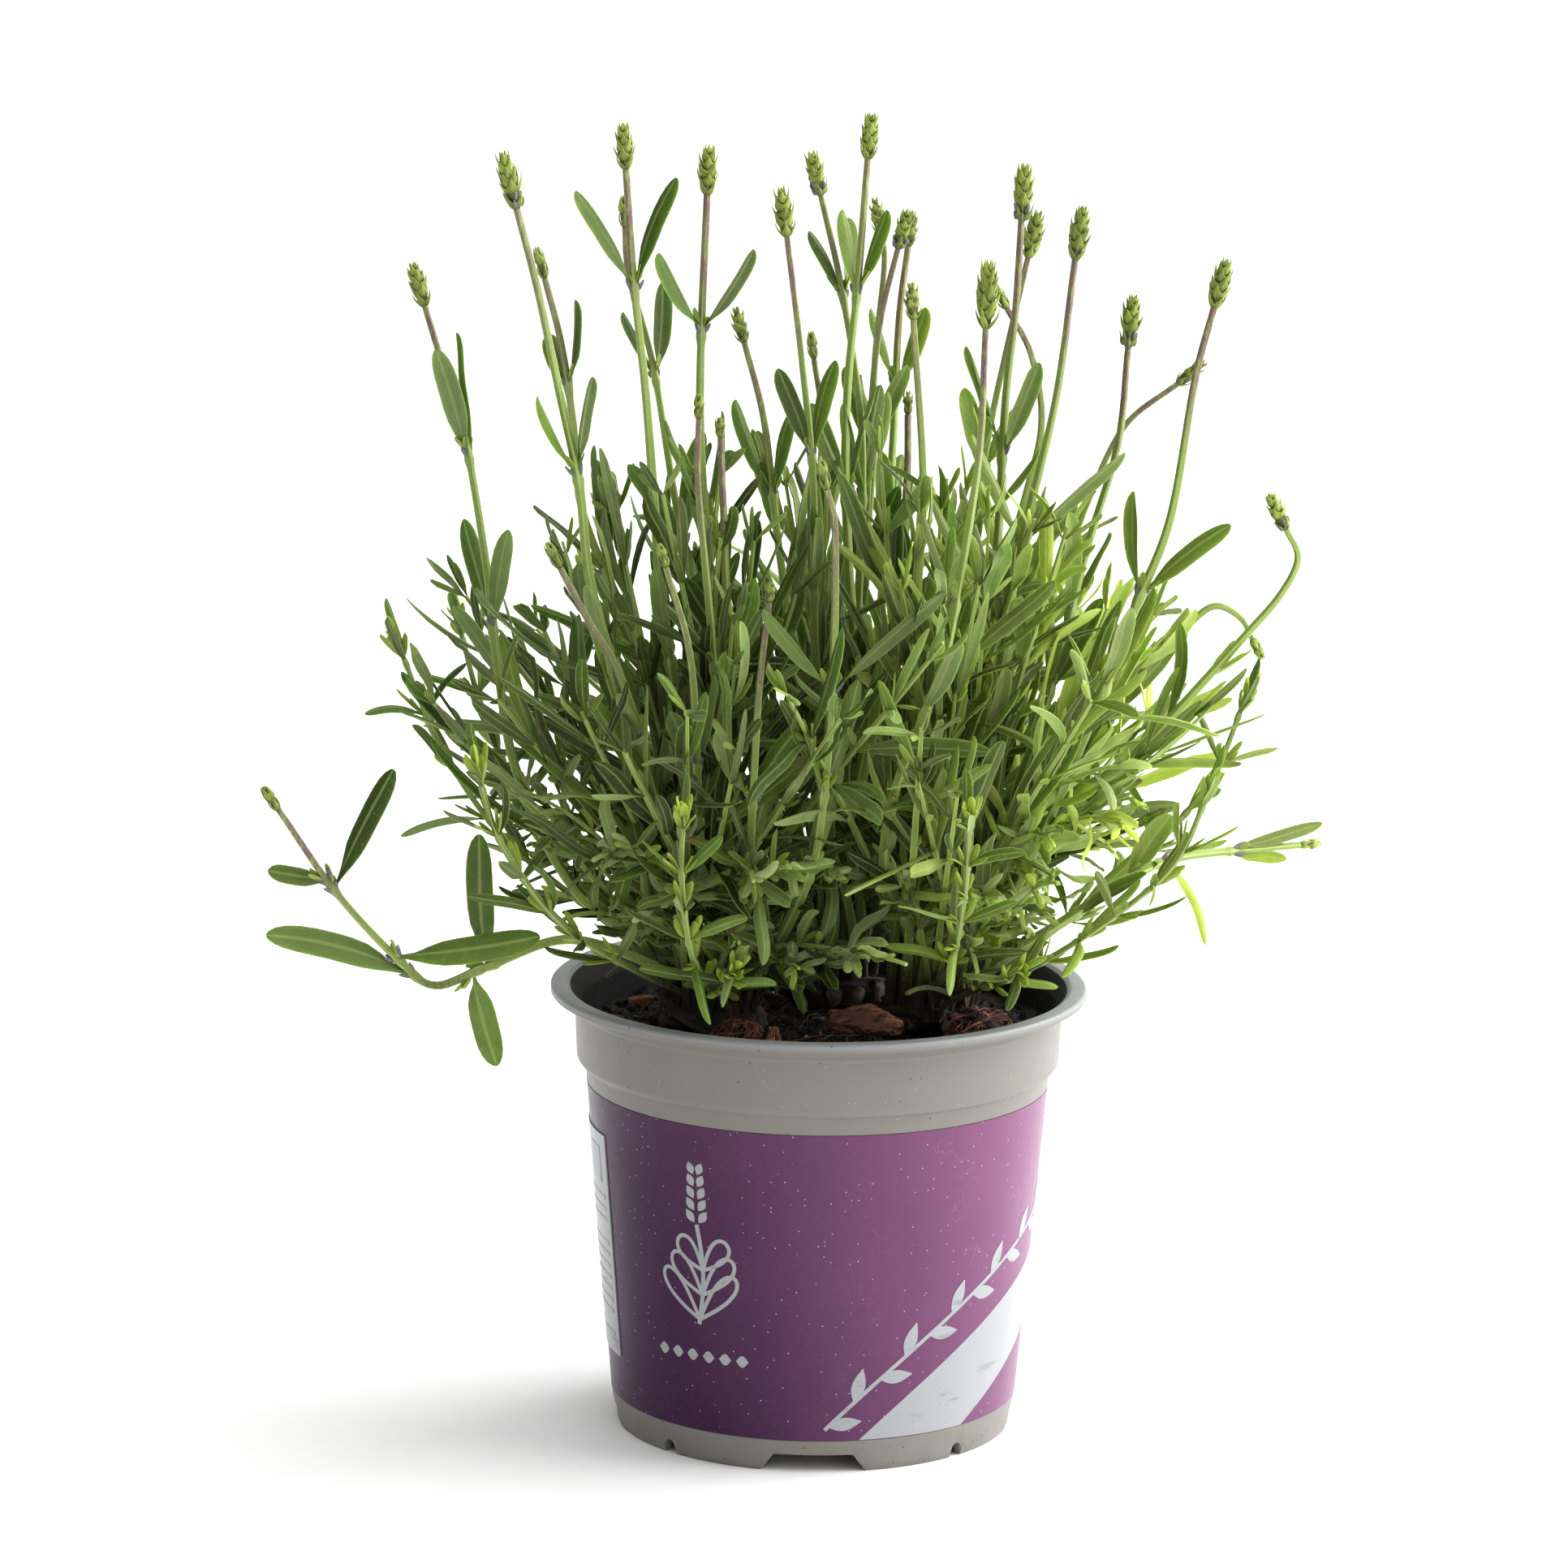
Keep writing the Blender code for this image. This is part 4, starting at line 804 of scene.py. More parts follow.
@dataclass
class NurseryPot:
    """The moulded pot: tapered wall, step, collar, rim and notched foot."""

    rim: float = 65.0
    height: float = 108.7
    foot: float = 48.8
    wall: float = 1.2
    flange: float = 4.3
    lip: float = 2.0
    taper: float = 3.3
    collar_inset: float = 5.9
    collar_draft: float = 0.5
    collar_height: float = 13.0
    step_in: float = 2.2
    step_height: float = 1.6
    base_raise: float = 6.0
    base_plate: float = 1.4
    film_bottom: float = 8.0
    film_top: float = 84.6
    film_seat: float = 0.4
    notch_top: float = 19.0
    notch_mouth: float = 25.5
    notch_height: float = 4.2
    small_width: float = 3.2
    small_height: float = 3.4
    drains: int = 8
    drain_ring: float = 33.0
    drain_radius: float = 4.0
    corner: float = 0.35
    segments: int = 480

    def __post_init__(self) -> None:
        """Works out the heights and radii that follow from the sizes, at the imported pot's scale."""
        low, high = box_of("pot")
        self.height = float(high[2])
        self.rim = float(high[0] - low[0]) / 2.0
        self.collar = self.rim - self.collar_inset
        self.collar_top = self.height - self.lip - self.taper
        self.collar_bottom = self.collar_top - self.collar_height
        self.step_bottom = self.collar_bottom - self.step_height
        self.wall_top = self.collar - self.collar_draft - self.step_in

    def wall_radius(self, height: float | Array) -> float | Array:
        """Outer radius of the tapered wall at a height below the step."""
        return self.foot + (self.wall_top - self.foot) * height / self.step_bottom

    def inner_radius(self, height: float) -> float:
        """Inner radius at a height."""
        if height <= self.step_bottom:
            return float(self.wall_radius(height)) - self.wall
        return self.collar - self.collar_draft - self.wall

    def profile(self) -> Array:
        """(radius, height) from the middle of the underside, up the outside and down the inside."""
        foot, rim, collar, top = self.foot, self.rim, self.collar, self.height
        under, floor = self.base_raise, self.base_raise + self.base_plate
        low, high = self.film_bottom - 0.1, self.film_top + 0.1
        narrow, wide = self.wall_radius(low), self.wall_radius(high)
        drafted, lip = collar - self.collar_draft, top - self.lip
        return rounded([
            (0.6, under), (self.drain_ring, under), (foot - 2.4, under), (foot - 2.2, 0.0),
            (foot - 0.5, 0.0), (foot, 1.6), (narrow, low), (narrow - self.film_seat, low + 0.1),
            (wide - self.film_seat, high - 0.1), (wide, high),
            (self.wall_top, self.step_bottom), (self.wall_top + 1.1, self.step_bottom + 0.5),
            (drafted - 0.5, self.collar_bottom - 0.35), (drafted, self.collar_bottom + 0.5),
            (collar, self.collar_top - 0.3), (collar + 0.7, self.collar_top + 0.5),
            (rim - 0.7, lip - 0.35), (rim, lip), (rim, top - 0.45), (rim - 0.5, top),
            (rim - self.flange + 0.6, top), (rim - self.flange - 0.6, top - 0.8),
            (collar - self.wall, self.collar_top), (self.inner_radius(top), self.collar_bottom),
            (self.inner_radius(0.0) + 0.9 * (self.wall_top - foot), self.step_bottom),
            (self.inner_radius(floor), floor), (0.6, floor),
        ], self.corner)

    def notches(self, angle: Array) -> Array:
        """Height of the foot's edge round the pot.

        A wide notch is a trapezium every quarter turn. A small one between is an arch, whose height
        is h - r + sqrt(r^2 - s^2) at a distance s along the foot, with r half its width.
        """
        quarter = (angle * 4.0 / TURN) % 1.0
        wide = np.minimum(quarter, 1.0 - quarter) * TURN / 4.0 * self.foot
        small = np.abs(quarter - 0.5) * TURN / 4.0 * self.foot
        slope = (self.notch_mouth / 2 - wide) / ((self.notch_mouth - self.notch_top) / 2)
        half = self.small_width / 2
        arch = self.small_height - half + np.sqrt(np.maximum(half**2 - small**2, 0.0))
        return np.maximum(self.notch_height * np.clip(slope, 0.0, 1.0),
                          np.where(small < half, arch, 0.0))

    def plugs(self) -> Array:
        """Black discs in the base where the drain holes are, painted shade in place of holes: one in
        the middle and a ring of others.
        """
        turns = np.concatenate([[0.0], (np.arange(self.drains) + 0.5) * TURN / self.drains])
        out = np.array([0.0] + [self.drain_ring] * self.drains)
        rings = np.array([(0.90, -0.3), (1.0, -0.45), (1.12, -0.3), (1.12, 0.05), (0.90, 0.05)])
        share, lift = rings[:, 0][:, None, None], rings[:, 1][:, None, None] + self.base_raise
        a = circle(20)
        centre = np.stack([out * np.cos(turns), out * np.sin(turns)], axis=-1)
        disc = self.drain_radius * share * np.stack([np.cos(a), -np.sin(a)], -1)
        flat = centre[:, None, None, :] + disc[None]
        holes = np.concatenate([flat, np.broadcast_to(lift, (*flat.shape[:3], 1))], axis=-1)
        return holes[:, ::-1]

    def build(self, palette: Palette) -> None:
        """Turns the profile, lifts the foot's edge into the notches and adds rings in the base."""
        profile = self.profile()
        grid = revolve(profile, self.segments)
        height = grid[..., 2]
        reach = self.notch_height + 0.6
        edge = (height < reach) & (np.hypot(grid[..., 0], grid[..., 1]) > self.foot - 3.0)
        lifted = self.notches(circle(self.segments)) + (height / reach) * 0.25
        grid[..., 2] = np.where(edge, np.maximum(height, lifted), height)
        wobble = fractal(grid[0] * np.array([1, 1, 0.3]), 60.0, 2, 3)[None] * 0.12
        grid[..., :2] *= (1.0 - np.abs(wobble) / 60.0)[..., None]
        # Painted shade: the inside's tint makes its wall near black.
        inside = (np.arange(len(profile)) > np.argmax(profile[:, 1])) * 1.0
        # A painted highlight: the flange's tint makes it pale blue-grey.
        flange = (profile[:, 1] > self.height - 0.9) & (profile[:, 0] > self.rim - self.flange - 0.4)
        dark = inside * (1.0 - flange)
        shell = Shell()
        shell.add(grid, np.stack([flange * 0.8, dark, dark * 0.0], axis=-1)[None, :, None, :])
        # Painted shade: black discs stand in for the drain holes.
        shell.add(self.plugs(), (0.0, 1.0, 0.0))
        place(shell.build("pot", [palette.pot], 35.0), "pot_plastic", "pot")


@dataclass
class LabelWrap:
    """The printed film sleeve, its arched band, a chain of leaves over it and a drawn sprig."""

    pot: NurseryPot
    thickness: float = 0.35
    print_depth: float = 0.09
    arch_middle: float = 50.0
    upper_half: float = 127.4
    upper_rise: float = 43.0
    lower_half: float = 94.5
    lower_rise: float = 29.0
    vine_lift: float = 11.0
    leaf_length: float = 8.6
    leaf_lean: float = 0.62
    sprig_at: float = -122.0
    sprig_foot: float = 35.0
    sprig_tall: float = 25.0
    segments: int = 288

    def on_wall(self, degrees: Array, height: Array, lift: Array | float) -> Array:
        """Points on the wall from an angle, a height and a distance out of it."""
        return around(self.pot.wall_radius(height) + lift, np.radians(degrees), height)

    def stroke(self, degrees: Array, height: Array, width: Array | float,
               lift: float = 0.0) -> Array:
        """A closed flat ribbon on the wall along a line, with a width across the line.

        The line is measured in millimetres round and up the wall. Each point is moved half the
        width to either side, at right angles to the line, at the lift and a print's depth above it.

        Args:
            degrees: angles of the line's points.
            height: their heights.
            width: the ribbon's width at each point.
            lift: distance of its underside out of the wall.

        Returns:
            A grid of one tube.
        """
        scale = math.radians(1.0) * self.pot.wall_radius(height.mean())
        line = np.stack([degrees * scale, height], axis=-1)
        ahead = unit(np.gradient(line, axis=0))
        half = np.broadcast_to(np.asarray(width, float) / 2, height.shape)[:, None]
        across = np.stack([-ahead[:, 1], ahead[:, 0]], axis=-1) * half
        left, right, top = line + across, line - across, lift + self.print_depth
        sides = [(left, lift), (left, top), (right, top), (right, lift)]
        rings = [self.on_wall(side[:, 0] / scale, side[:, 1], out) for side, out in sides]
        return np.stack(rings, axis=1)[None]

    def band(self) -> Array:
        """The arched band between two arches, each a rise times 1 - |a / half|^p from its middle."""
        t = np.linspace(-1.0, 1.0, 121)
        share = np.linspace(0.0, 1.0, 9)[:, None]
        degrees, height = 0.0, 0.0
        for weight, half, rise, power in (
            (1 - share, self.upper_half, self.upper_rise, 2.4),
            (share, self.lower_half, self.lower_rise, 2.0),
        ):
            degrees = degrees + (self.arch_middle + half * t) * weight
            height = height + (self.pot.film_bottom + 0.1 + rise * (1 - np.abs(t) ** power)) * weight
        outer = self.on_wall(degrees, height, 0.07)
        inner = self.on_wall(degrees[::-1], height[::-1], 0.0)
        return np.concatenate([inner, outer]).transpose(1, 0, 2)[None]

    def vine(self, degrees: Array) -> Array:
        """Height of the garland's vine at an angle, over the band's upper edge."""
        t = (degrees - self.arch_middle) / self.upper_half
        edge = self.pot.film_bottom + self.upper_rise * (1 - np.abs(t) ** 2.4)
        return edge + self.vine_lift

    def garland(self) -> list[Array]:
        """A vine that follows the band, with a leaf to each side in turn."""
        line = np.linspace(-87.0, 20.0, 110)
        made = [self.stroke(line, self.vine(line), 1.0)]
        s = np.linspace(0.0, 1.0, 14)
        width = 3.3 * np.sin(np.pi * np.clip(s, 0.03, 0.97) ** 0.9) ** 0.9
        scale = math.radians(1.0) * self.pot.wall_radius(self.vine(0.0))
        for k, start in enumerate(np.linspace(-86.0, 12.0, 15)):
            ends = self.vine(np.array([start - 1.0, start + 1.0]))
            lean = self.leaf_lean if k % 2 else -self.leaf_lean
            course = math.atan2(ends[1] - ends[0], 2.0 * scale) + lean
            degrees = start + self.leaf_length * s * math.cos(course) / scale
            height = ends.mean() + self.leaf_length * s * math.sin(course)
            made.append(self.stroke(degrees, height, width))
        return made

    def sprig(self) -> list[Array]:
        """A drawn sprig: one stem, three pairs of outlined leaves and a spike of small lozenges."""
        made = []
        scale = math.degrees(1.0 / self.pot.wall_radius(50.0))
        s, t = np.linspace(0.0, 1.0, 30), np.linspace(0.0, 1.0, 31)
        lozenge = np.sin(np.pi * np.clip(s, 0.03, 0.97))

        def draw(x: Array, height: Array, width: Array | float) -> None:
            """Adds a stroke at millimetres from the sprig's middle."""
            made.append(self.stroke(self.sprig_at + scale * x, height, width))

        draw(1.6 * np.sin(3.0 * s), self.sprig_foot + self.sprig_tall * s, 1.1)
        for k, level in enumerate((0.05, 0.30, 0.55)):
            for side in (-1.0, 1.0):
                bulge = 2.9 * np.sin(TURN * t)
                reach = (15.0 - 2.6 * k) * np.sin(np.pi * t)
                x = side * (0.66 * reach - 0.55 * bulge) + 1.6 * math.sin(3.0 * level)
                z = self.sprig_foot + self.sprig_tall * level + 0.75 * reach + 0.6 * bulge
                draw(x, z, 0.95)
        for k in range(5):
            for side in (-1.0, 1.0):
                x = 0.3 + side * (0.6 + 2.2 * s * (1.0 - 0.12 * k))
                draw(x, 60.5 + 3.0 * (k + s), 2.1 * lozenge)
        for k in range(6):
            draw(-12.0 + 4.6 * k + 3.2 * (s - 0.5) + 0.5, 27.0 + 0.0 * s, 2.9 * lozenge)
        return made

    def build(self, palette: Palette) -> None:
        """Makes the sleeve and the print on it."""
        rows = np.linspace(self.pot.film_bottom, self.pot.film_top, 14)
        outer = np.stack([self.pot.wall_radius(rows), rows], axis=-1)
        inner = outer[::-1] - np.array([self.thickness, 0.0])
        loop = np.concatenate([outer, inner])[::-1]
        angle = circle(self.segments)[:, None]
        shell = Shell()
        shell.add(around(loop[:, 0], angle, loop[:, 1])[None], hoop=True)
        place(shell.build("pot_label", [palette.film], 40.0), "label_film", "pot_label")
        printed = Shell()
        for grid in [self.band(), *self.garland(), *self.sprig()]:
            printed.add(grid)
        place(printed.build("label_print", [palette.print], 40.0), "label_film")


@dataclass
class CarePanel:
    """The white panel on the film's side, with plain grey bars and a block."""

    wrap: LabelWrap
    middle: float = -170.5
    half: float = 13.2
    depth: float = 0.3
    bars: int = 13
    bar_width: float = 0.9
    block: float = 9.0

    def build(self, palette: Palette) -> None:
        """Makes the curved panel and the bars on it."""
        low, high = box_of("care_panel")
        bottom, top = float(low[2]), float(high[2])
        a = np.linspace(self.middle - self.half, self.middle + self.half, 25)
        degrees, height = np.meshgrid(a, np.linspace(bottom, top, 4), indexing="ij")
        outer = self.wrap.on_wall(degrees, height, self.depth)
        inner = self.wrap.on_wall(degrees, height, 0.0)
        shell = Shell()
        shell.add(np.concatenate([outer[:, ::-1], inner], axis=1)[None])
        rng = np.random.default_rng(5)
        right = self.middle + self.half - 2.5
        for level in np.linspace(bottom + 5.0, top - 16.0, self.bars)[rng.permutation(self.bars) > 1]:
            line = np.linspace(right - rng.uniform(12.0, 20.0), right, 12)
            bar = self.wrap.stroke(line, np.full(12, level), self.bar_width, self.depth)
            shell.add(bar, (0.5, 0.55, 0.0))
        line = np.linspace(self.middle + 1.0, self.middle + self.block, 8)
        block = self.wrap.stroke(line, np.full(8, top - 8.0), self.block, self.depth)
        shell.add(block, (0.5, 0.75, 0.0))
        place(shell.build("care_panel", [palette.print], 40.0), "panel_paper", "care_panel")


# ---------------------------------------------------------------- soil and what lies on it


def lumps(centres: Array, sizes: Array, stations: int, ring: int, seed: int, rough: float) -> Array:
    """Knobbly lumps: rounded boxes turned at random, moved in and out by noise.

    Args:
        centres: (lumps, 3).
        sizes: half sizes, (lumps, 3).
        stations: rings along each lump.
        ring: points round each ring.
        seed: picks the turns and the noise.
        rough: depth of the noise as a share of the size.

    Returns:
        Grids, (lumps, stations, ring, 3).
    """
    rng = np.random.default_rng(seed)
    tall = np.linspace(0.06, 0.94, stations)[:, None] * math.pi
    ball = around(np.sin(tall), circle(ring), -np.cos(tall))
    ball = np.sign(ball) * np.abs(ball) ** 0.8
    shift = rng.uniform(0.0, 90.0, (len(centres), 1, 1, 3))
    knobs = fractal(ball[None] * 1.6 + shift, 1.0, 2, seed)
    shape = ball[None] * (1.0 + rough * knobs)[..., None] * sizes[:, None, None, :]
    turn = rng.uniform(0.0, TURN, (len(centres), 1, 1))
    lean = rng.normal(0.0, 0.35, (len(centres), 1, 1))
    x, y, z = np.moveaxis(shape, -1, 0)
    x, z = x * np.cos(lean) - z * np.sin(lean), x * np.sin(lean) + z * np.cos(lean)
    x, y = x * np.cos(turn) - y * np.sin(turn), x * np.sin(turn) + y * np.cos(turn)
    return np.stack([x, y, z], axis=-1) + centres[:, None, None, :]


def tones(rng: Random, count: int, low: float = 0.0, high: float = 1.0) -> Array:
    """A random tone for each of several tubes."""
    return rng.uniform(low, high, (count, 1, 1, 1)) * np.ones(3)


@dataclass
class SoilBed:
    """The peat in the pot: a rough surface with crumbs, rootlets and pale grains on it."""

    pot: NurseryPot
    top: float
    rough: float = 2.3
    gap: float = 0.35
    segments: int = 300
    rings: int = 100
    crumbs: int = 1300
    flakes: int = 90
    grains: int = 24
    rootlets: int = 70
    coarse: int = 46
    strands: int = 22

    def level(self, x: Array, y: Array) -> Array:
        """Height of the surface: the top less the size of two layers of noise."""
        flat = np.stack([x, y, 0.0 * x], axis=-1)
        wave = 0.8 * np.abs(fractal(flat, 22.0, 2, 11)) + 0.5 * np.abs(fractal(flat, 5.0, 3, 12))
        return self.top - self.rough * np.minimum(wave, 1.3)

    def body(self) -> Array:
        """The solid: up the pot's inside to the surface, and in to the middle."""
        pot = self.pot
        bottom = pot.base_raise + pot.base_plate + 0.3
        edge = pot.inner_radius(pot.height) - self.gap
        side = [(0.6, bottom), (pot.inner_radius(bottom) - self.gap, bottom),
                (pot.inner_radius(pot.step_bottom) - self.gap, pot.step_bottom),
                (edge, pot.collar_bottom + 0.4), (edge, self.top - 5.0)]
        across = [(edge * (1.0 - k / self.rings) + 0.5, self.top) for k in range(1, self.rings + 1)]
        grid = revolve(np.array(side + [(edge, self.top)] + across), self.segments)
        skin = grid[:, len(side):]
        skin[..., 2] = self.level(skin[..., 0], skin[..., 1])
        return grid

    def scatter(self, count: int, seed: int, reach: float = 0.97) -> Array:
        """Points spread evenly over the surface: the radius is the root of an even share."""
        rng = np.random.default_rng(seed)
        radius = (self.pot.inner_radius(self.top) - 1.5) * reach * np.sqrt(rng.uniform(0, 1, count))
        angle = rng.uniform(0.0, TURN, count)
        x, y = radius * np.cos(angle), radius * np.sin(angle)
        return np.stack([x, y, self.level(x, y)], axis=-1)

    def threads(self, count: int, seed: int, length: float, radius: float) -> Array:
        """Thin rootlets: short random curves that hug the surface."""
        rng = np.random.default_rng(seed)
        start = self.scatter(count, seed + 1, 0.86)
        heading = rng.uniform(0.0, TURN, (count, 1)) + np.cumsum(rng.normal(0, 0.42, (count, 11)), 1)
        step = rng.uniform(0.4, 1.0, (count, 1)) * length / 11
        x = start[:, :1] + np.cumsum(np.cos(heading) * step, 1)
        y = start[:, 1:2] + np.cumsum(np.sin(heading) * step, 1)
        limit = self.pot.inner_radius(self.top) - 1.6
        shrink = np.minimum(1.0, limit / np.maximum(np.hypot(x, y), 1e-6))
        x, y = x * shrink, y * shrink
        lift = rng.uniform(0.1, 1.8, (count, 1)) * np.sin(np.linspace(0.1, 3.0, 11))
        paths = np.stack([x, y, self.level(x, y) + lift + 0.1], axis=-1)
        thin = radius * rng.uniform(0.6, 1.2, (count, 1)) * np.linspace(1.0, 0.45, 11)
        return sweep(paths, thin, 5)

    def bundle(self, rng: Random) -> Array:
        """Root strands that hang from one knot and spread into a ring."""
        turns = rng.uniform(0.0, TURN, self.strands)
        fan = np.stack([5.5 * np.cos(turns), 2.4 * np.sin(turns), 0.0 * turns], axis=-1)[:, None]
        fall = np.linspace(0.0, 1.0, 9)[None, :, None]
        knot = np.array([-10.7, -41.0, self.top + 8.5])
        spread = rng.uniform(0.3, 1.0, (self.strands, 1, 1))
        paths = knot + fan * fall**1.6 * spread - [0, 0, 8.2] * fall
        paths = paths + 0.12 * fan + rng.normal(0.0, 0.16, paths.shape)
        return sweep(paths, np.full(paths.shape[:2], 0.30), 5)

    def build(self, palette: Palette) -> None:
        """Makes the bed and the loose matter on it."""
        shell = Shell()
        shell.add(self.body(), (0.45, 0.0, 0.0))
        made = shell.build("potting_soil", [palette.earth[Earth.PEAT]], 70.0)
        place(made, "peat_soil", "potting_soil")
        rng = np.random.default_rng(21)
        litter = Shell()
        crumbs = rng.uniform(0.35, 1.0, (self.crumbs, 3)) * rng.uniform(0.5, 1.7, (self.crumbs, 1))
        spots = self.scatter(self.crumbs, 31)
        litter.add(lumps(spots, crumbs, 4, 6, 41, 0.5), tones(rng, self.crumbs), 0)
        flakes = rng.uniform(0.8, 2.4, (self.flakes, 3)) * np.array([1.3, 0.5, 0.3])
        spots = self.scatter(self.flakes, 32) + [0, 0, 0.4]
        litter.add(lumps(spots, flakes, 5, 7, 42, 0.5), tones(rng, self.flakes, 0.0, 0.5), 1)
        litter.add(self.threads(self.rootlets, 51, 20.0, 0.16), (0.6, 0, 0), 2)
        litter.add(self.threads(self.coarse, 53, 26.0, 0.24), (0.3, 0, 0), 3)
        grains = rng.uniform(0.25, 0.6, (self.grains, 1)) * np.ones(3)
        spots = self.scatter(self.grains, 33) + [0, 0, 0.2]
        litter.add(lumps(spots, grains, 4, 6, 43, 0.3), (0.8, 0, 0), 4)
        yellow = np.array([[2.6, -44.0, 0.0]])
        yellow[:, 2] = self.level(yellow[:, 0], yellow[:, 1]) + 0.8
        litter.add(lumps(yellow, np.array([[1.6, 1.2, 1.2]]), 6, 8, 44, 0.3), (1.0, 0, 0), 4)
        litter.add(self.bundle(rng), (0.9, 0, 0), 3)
        sprout = np.array([[-21.4, -44.0, self.top + 1.2]])
        litter.add(lumps(sprout, np.array([[0.9, 0.6, 2.2]]), 7, 8, 45, 0.1), (1.0, 0.9, 0), 5)
        kinds = (Earth.PEAT, Earth.BARK, Earth.PALE_FIBRE, Earth.FIBRE, Earth.GRAIN)
        finishes = [palette.earth[kind] for kind in kinds] + [palette.leaf]
        place(litter.build("soil_litter", finishes, 50.0), "peat_soil")


@dataclass
class RootTangle:
    """A ball of wiry roots at the surface."""

    node: str
    seed: int
    swell: float = 1.0
    roots: int = 150

    def build(self, palette: Palette) -> None:
        """Makes a dark core and roots that wind over it on sloping circles."""
        low, high = box_of(self.node)
        high[2] = low[2] + (high[2] - low[2]) * self.swell
        centre, half = (low + high) / 2, (high - low) / 2
        rng = np.random.default_rng(self.seed)
        each = (self.roots, 1)
        shell = Shell()
        core = lumps(centre[None] - [0, 0, 0.8], half[None] * 0.66, 20, 28, self.seed, 0.5)
        shell.add(core, (0.1, 0, 0), 0)
        t = np.linspace(0.0, 1.0, 18)[None, :]
        start = rng.uniform(0.0, TURN, each)
        span = rng.uniform(0.5, 2.4, each)
        pole = unit(rng.normal(0.0, 1.0, (*each, 3)) * [1, 1, 0.6])
        side = unit(np.cross(pole, rng.normal(0.0, 1.0, (*each, 3))))
        angle = (start + span * t)[..., None]
        slide = rng.uniform(-0.6, 0.6, (*each, 1))
        ball = unit(side * np.cos(angle) + np.cross(pole, side) * np.sin(angle) + pole * slide)
        bend = 0.22 * lattice_noise(ball * 3.0 + start[..., None], self.seed)[..., None]
        paths = centre + half * ball * (rng.uniform(0.60, 1.0, (*each, 1)) + bend)
        paths[..., 2] = np.maximum(paths[..., 2], low[2] + 0.3)
        thick = rng.uniform(0.08, 0.30, each) * (1.0 - 0.5 * t)
        shell.add(sweep(paths, thick, 6), tones(rng, self.roots) ** 1.5, 1)
        kinds = [palette.earth[Earth.PEAT], palette.earth[Earth.FIBRE]]
        place(shell.build(self.node, kinds), "root_fibre", self.node)


@dataclass
class BarkChip:
    """A chip of bark with layered, fibrous faces."""

    node: str
    size: tuple
    turn: float
    seed: int
    lift: float = 0.0
    lean: float = 9.0

    def build(self, palette: Palette) -> None:
        """Makes a slab of uneven width whose faces are cut into long layers by noise."""
        long, wide, thick = (size / 2 for size in self.size)
        u = np.linspace(0.0, 1.0, 60)[:, None]
        a = circle(48)
        taper = np.interp(u, [0.0, 0.03, 0.20, 0.45, 0.52, 0.80, 0.97, 1.0],
                          [0.05, 0.52, 0.70, 0.86, 1.00, 0.78, 0.42, 0.05])
        cos, sin = (np.sign(v) * np.abs(v) ** 0.22 for v in (np.cos(a), np.sin(a)))
        x = (2 * u - 1) * long + 0.7 * np.cos(3.0 * a) * np.abs(2 * u - 1) ** 4
        y = taper * cos * wide + 0.6 * np.sin(5.0 * u)
        z = np.where((u < 0.01) | (u > 0.99), 0.1, 1.0) * ((0.5 + 0.5 * taper) * sin * thick)
        shape = np.stack([x, y, z], axis=-1)
        layers = fractal(shape * [0.10, 1.0, 1.0] + self.seed, 1.6, 3, self.seed)
        shape[..., 1:] *= (0.80 + 0.30 * np.round(layers * 3.0) / 3.0)[..., None]
        turn, lean = math.radians(self.turn), math.radians(self.lean)
        matrix = np.array(Matrix.Rotation(turn, 3, "Z") @ Matrix.Rotation(lean, 3, "X"))
        shell = Shell()
        centre = middle_of(self.node)[0] + [0.0, 0.0, self.lift]
        shell.add((shape @ matrix.T + centre)[None], (0.7, 0, 0))
        made = shell.build(self.node, [palette.earth[Earth.BARK]], 16.0)
        place(made, "bark", self.node)


# ---------------------------------------------------------------- blades


class Outline(Enum):
    """Shapes of a blade."""

    LEAF = "leaf"
    BRACT = "bract"
    CALYX = "calyx"


@dataclass
class Blades:
    """Blades to be made together. Each field has a row for each blade."""

    base: Array
    axis: Array
    out: Array
    length: Array
    width: Array
    spread: Array
    bend: Array
    sway: Array
    twist: Array
    tint: Array

    @staticmethod
    def row(base, axis, out, length, width, spread, bend, sway=0.0, twist=0.0, tint=(0.5, 0, 0)):
        """One blade. Angles are in degrees."""
        angles = np.radians([[spread], [bend], [sway], [twist]])
        vectors = (np.array([v], float) for v in (base, axis, out))
        return Blades(*vectors, np.array([length]), np.array([width]), *angles,
                      np.array([tint], float))

    @staticmethod
    def flat(*values: Array) -> "Blades":
        """Blades from fields laid out as (shoots, places, sides)."""
        return Blades(*(value.reshape(-1, *value.shape[3:]) for value in values))

    @staticmethod
    def joined(several: list) -> "Blades":
        """Several sets as one."""
        names = [f.name for f in fields(Blades)]
        return Blades(*(np.concatenate([getattr(s, name) for s in several]) for name in names))


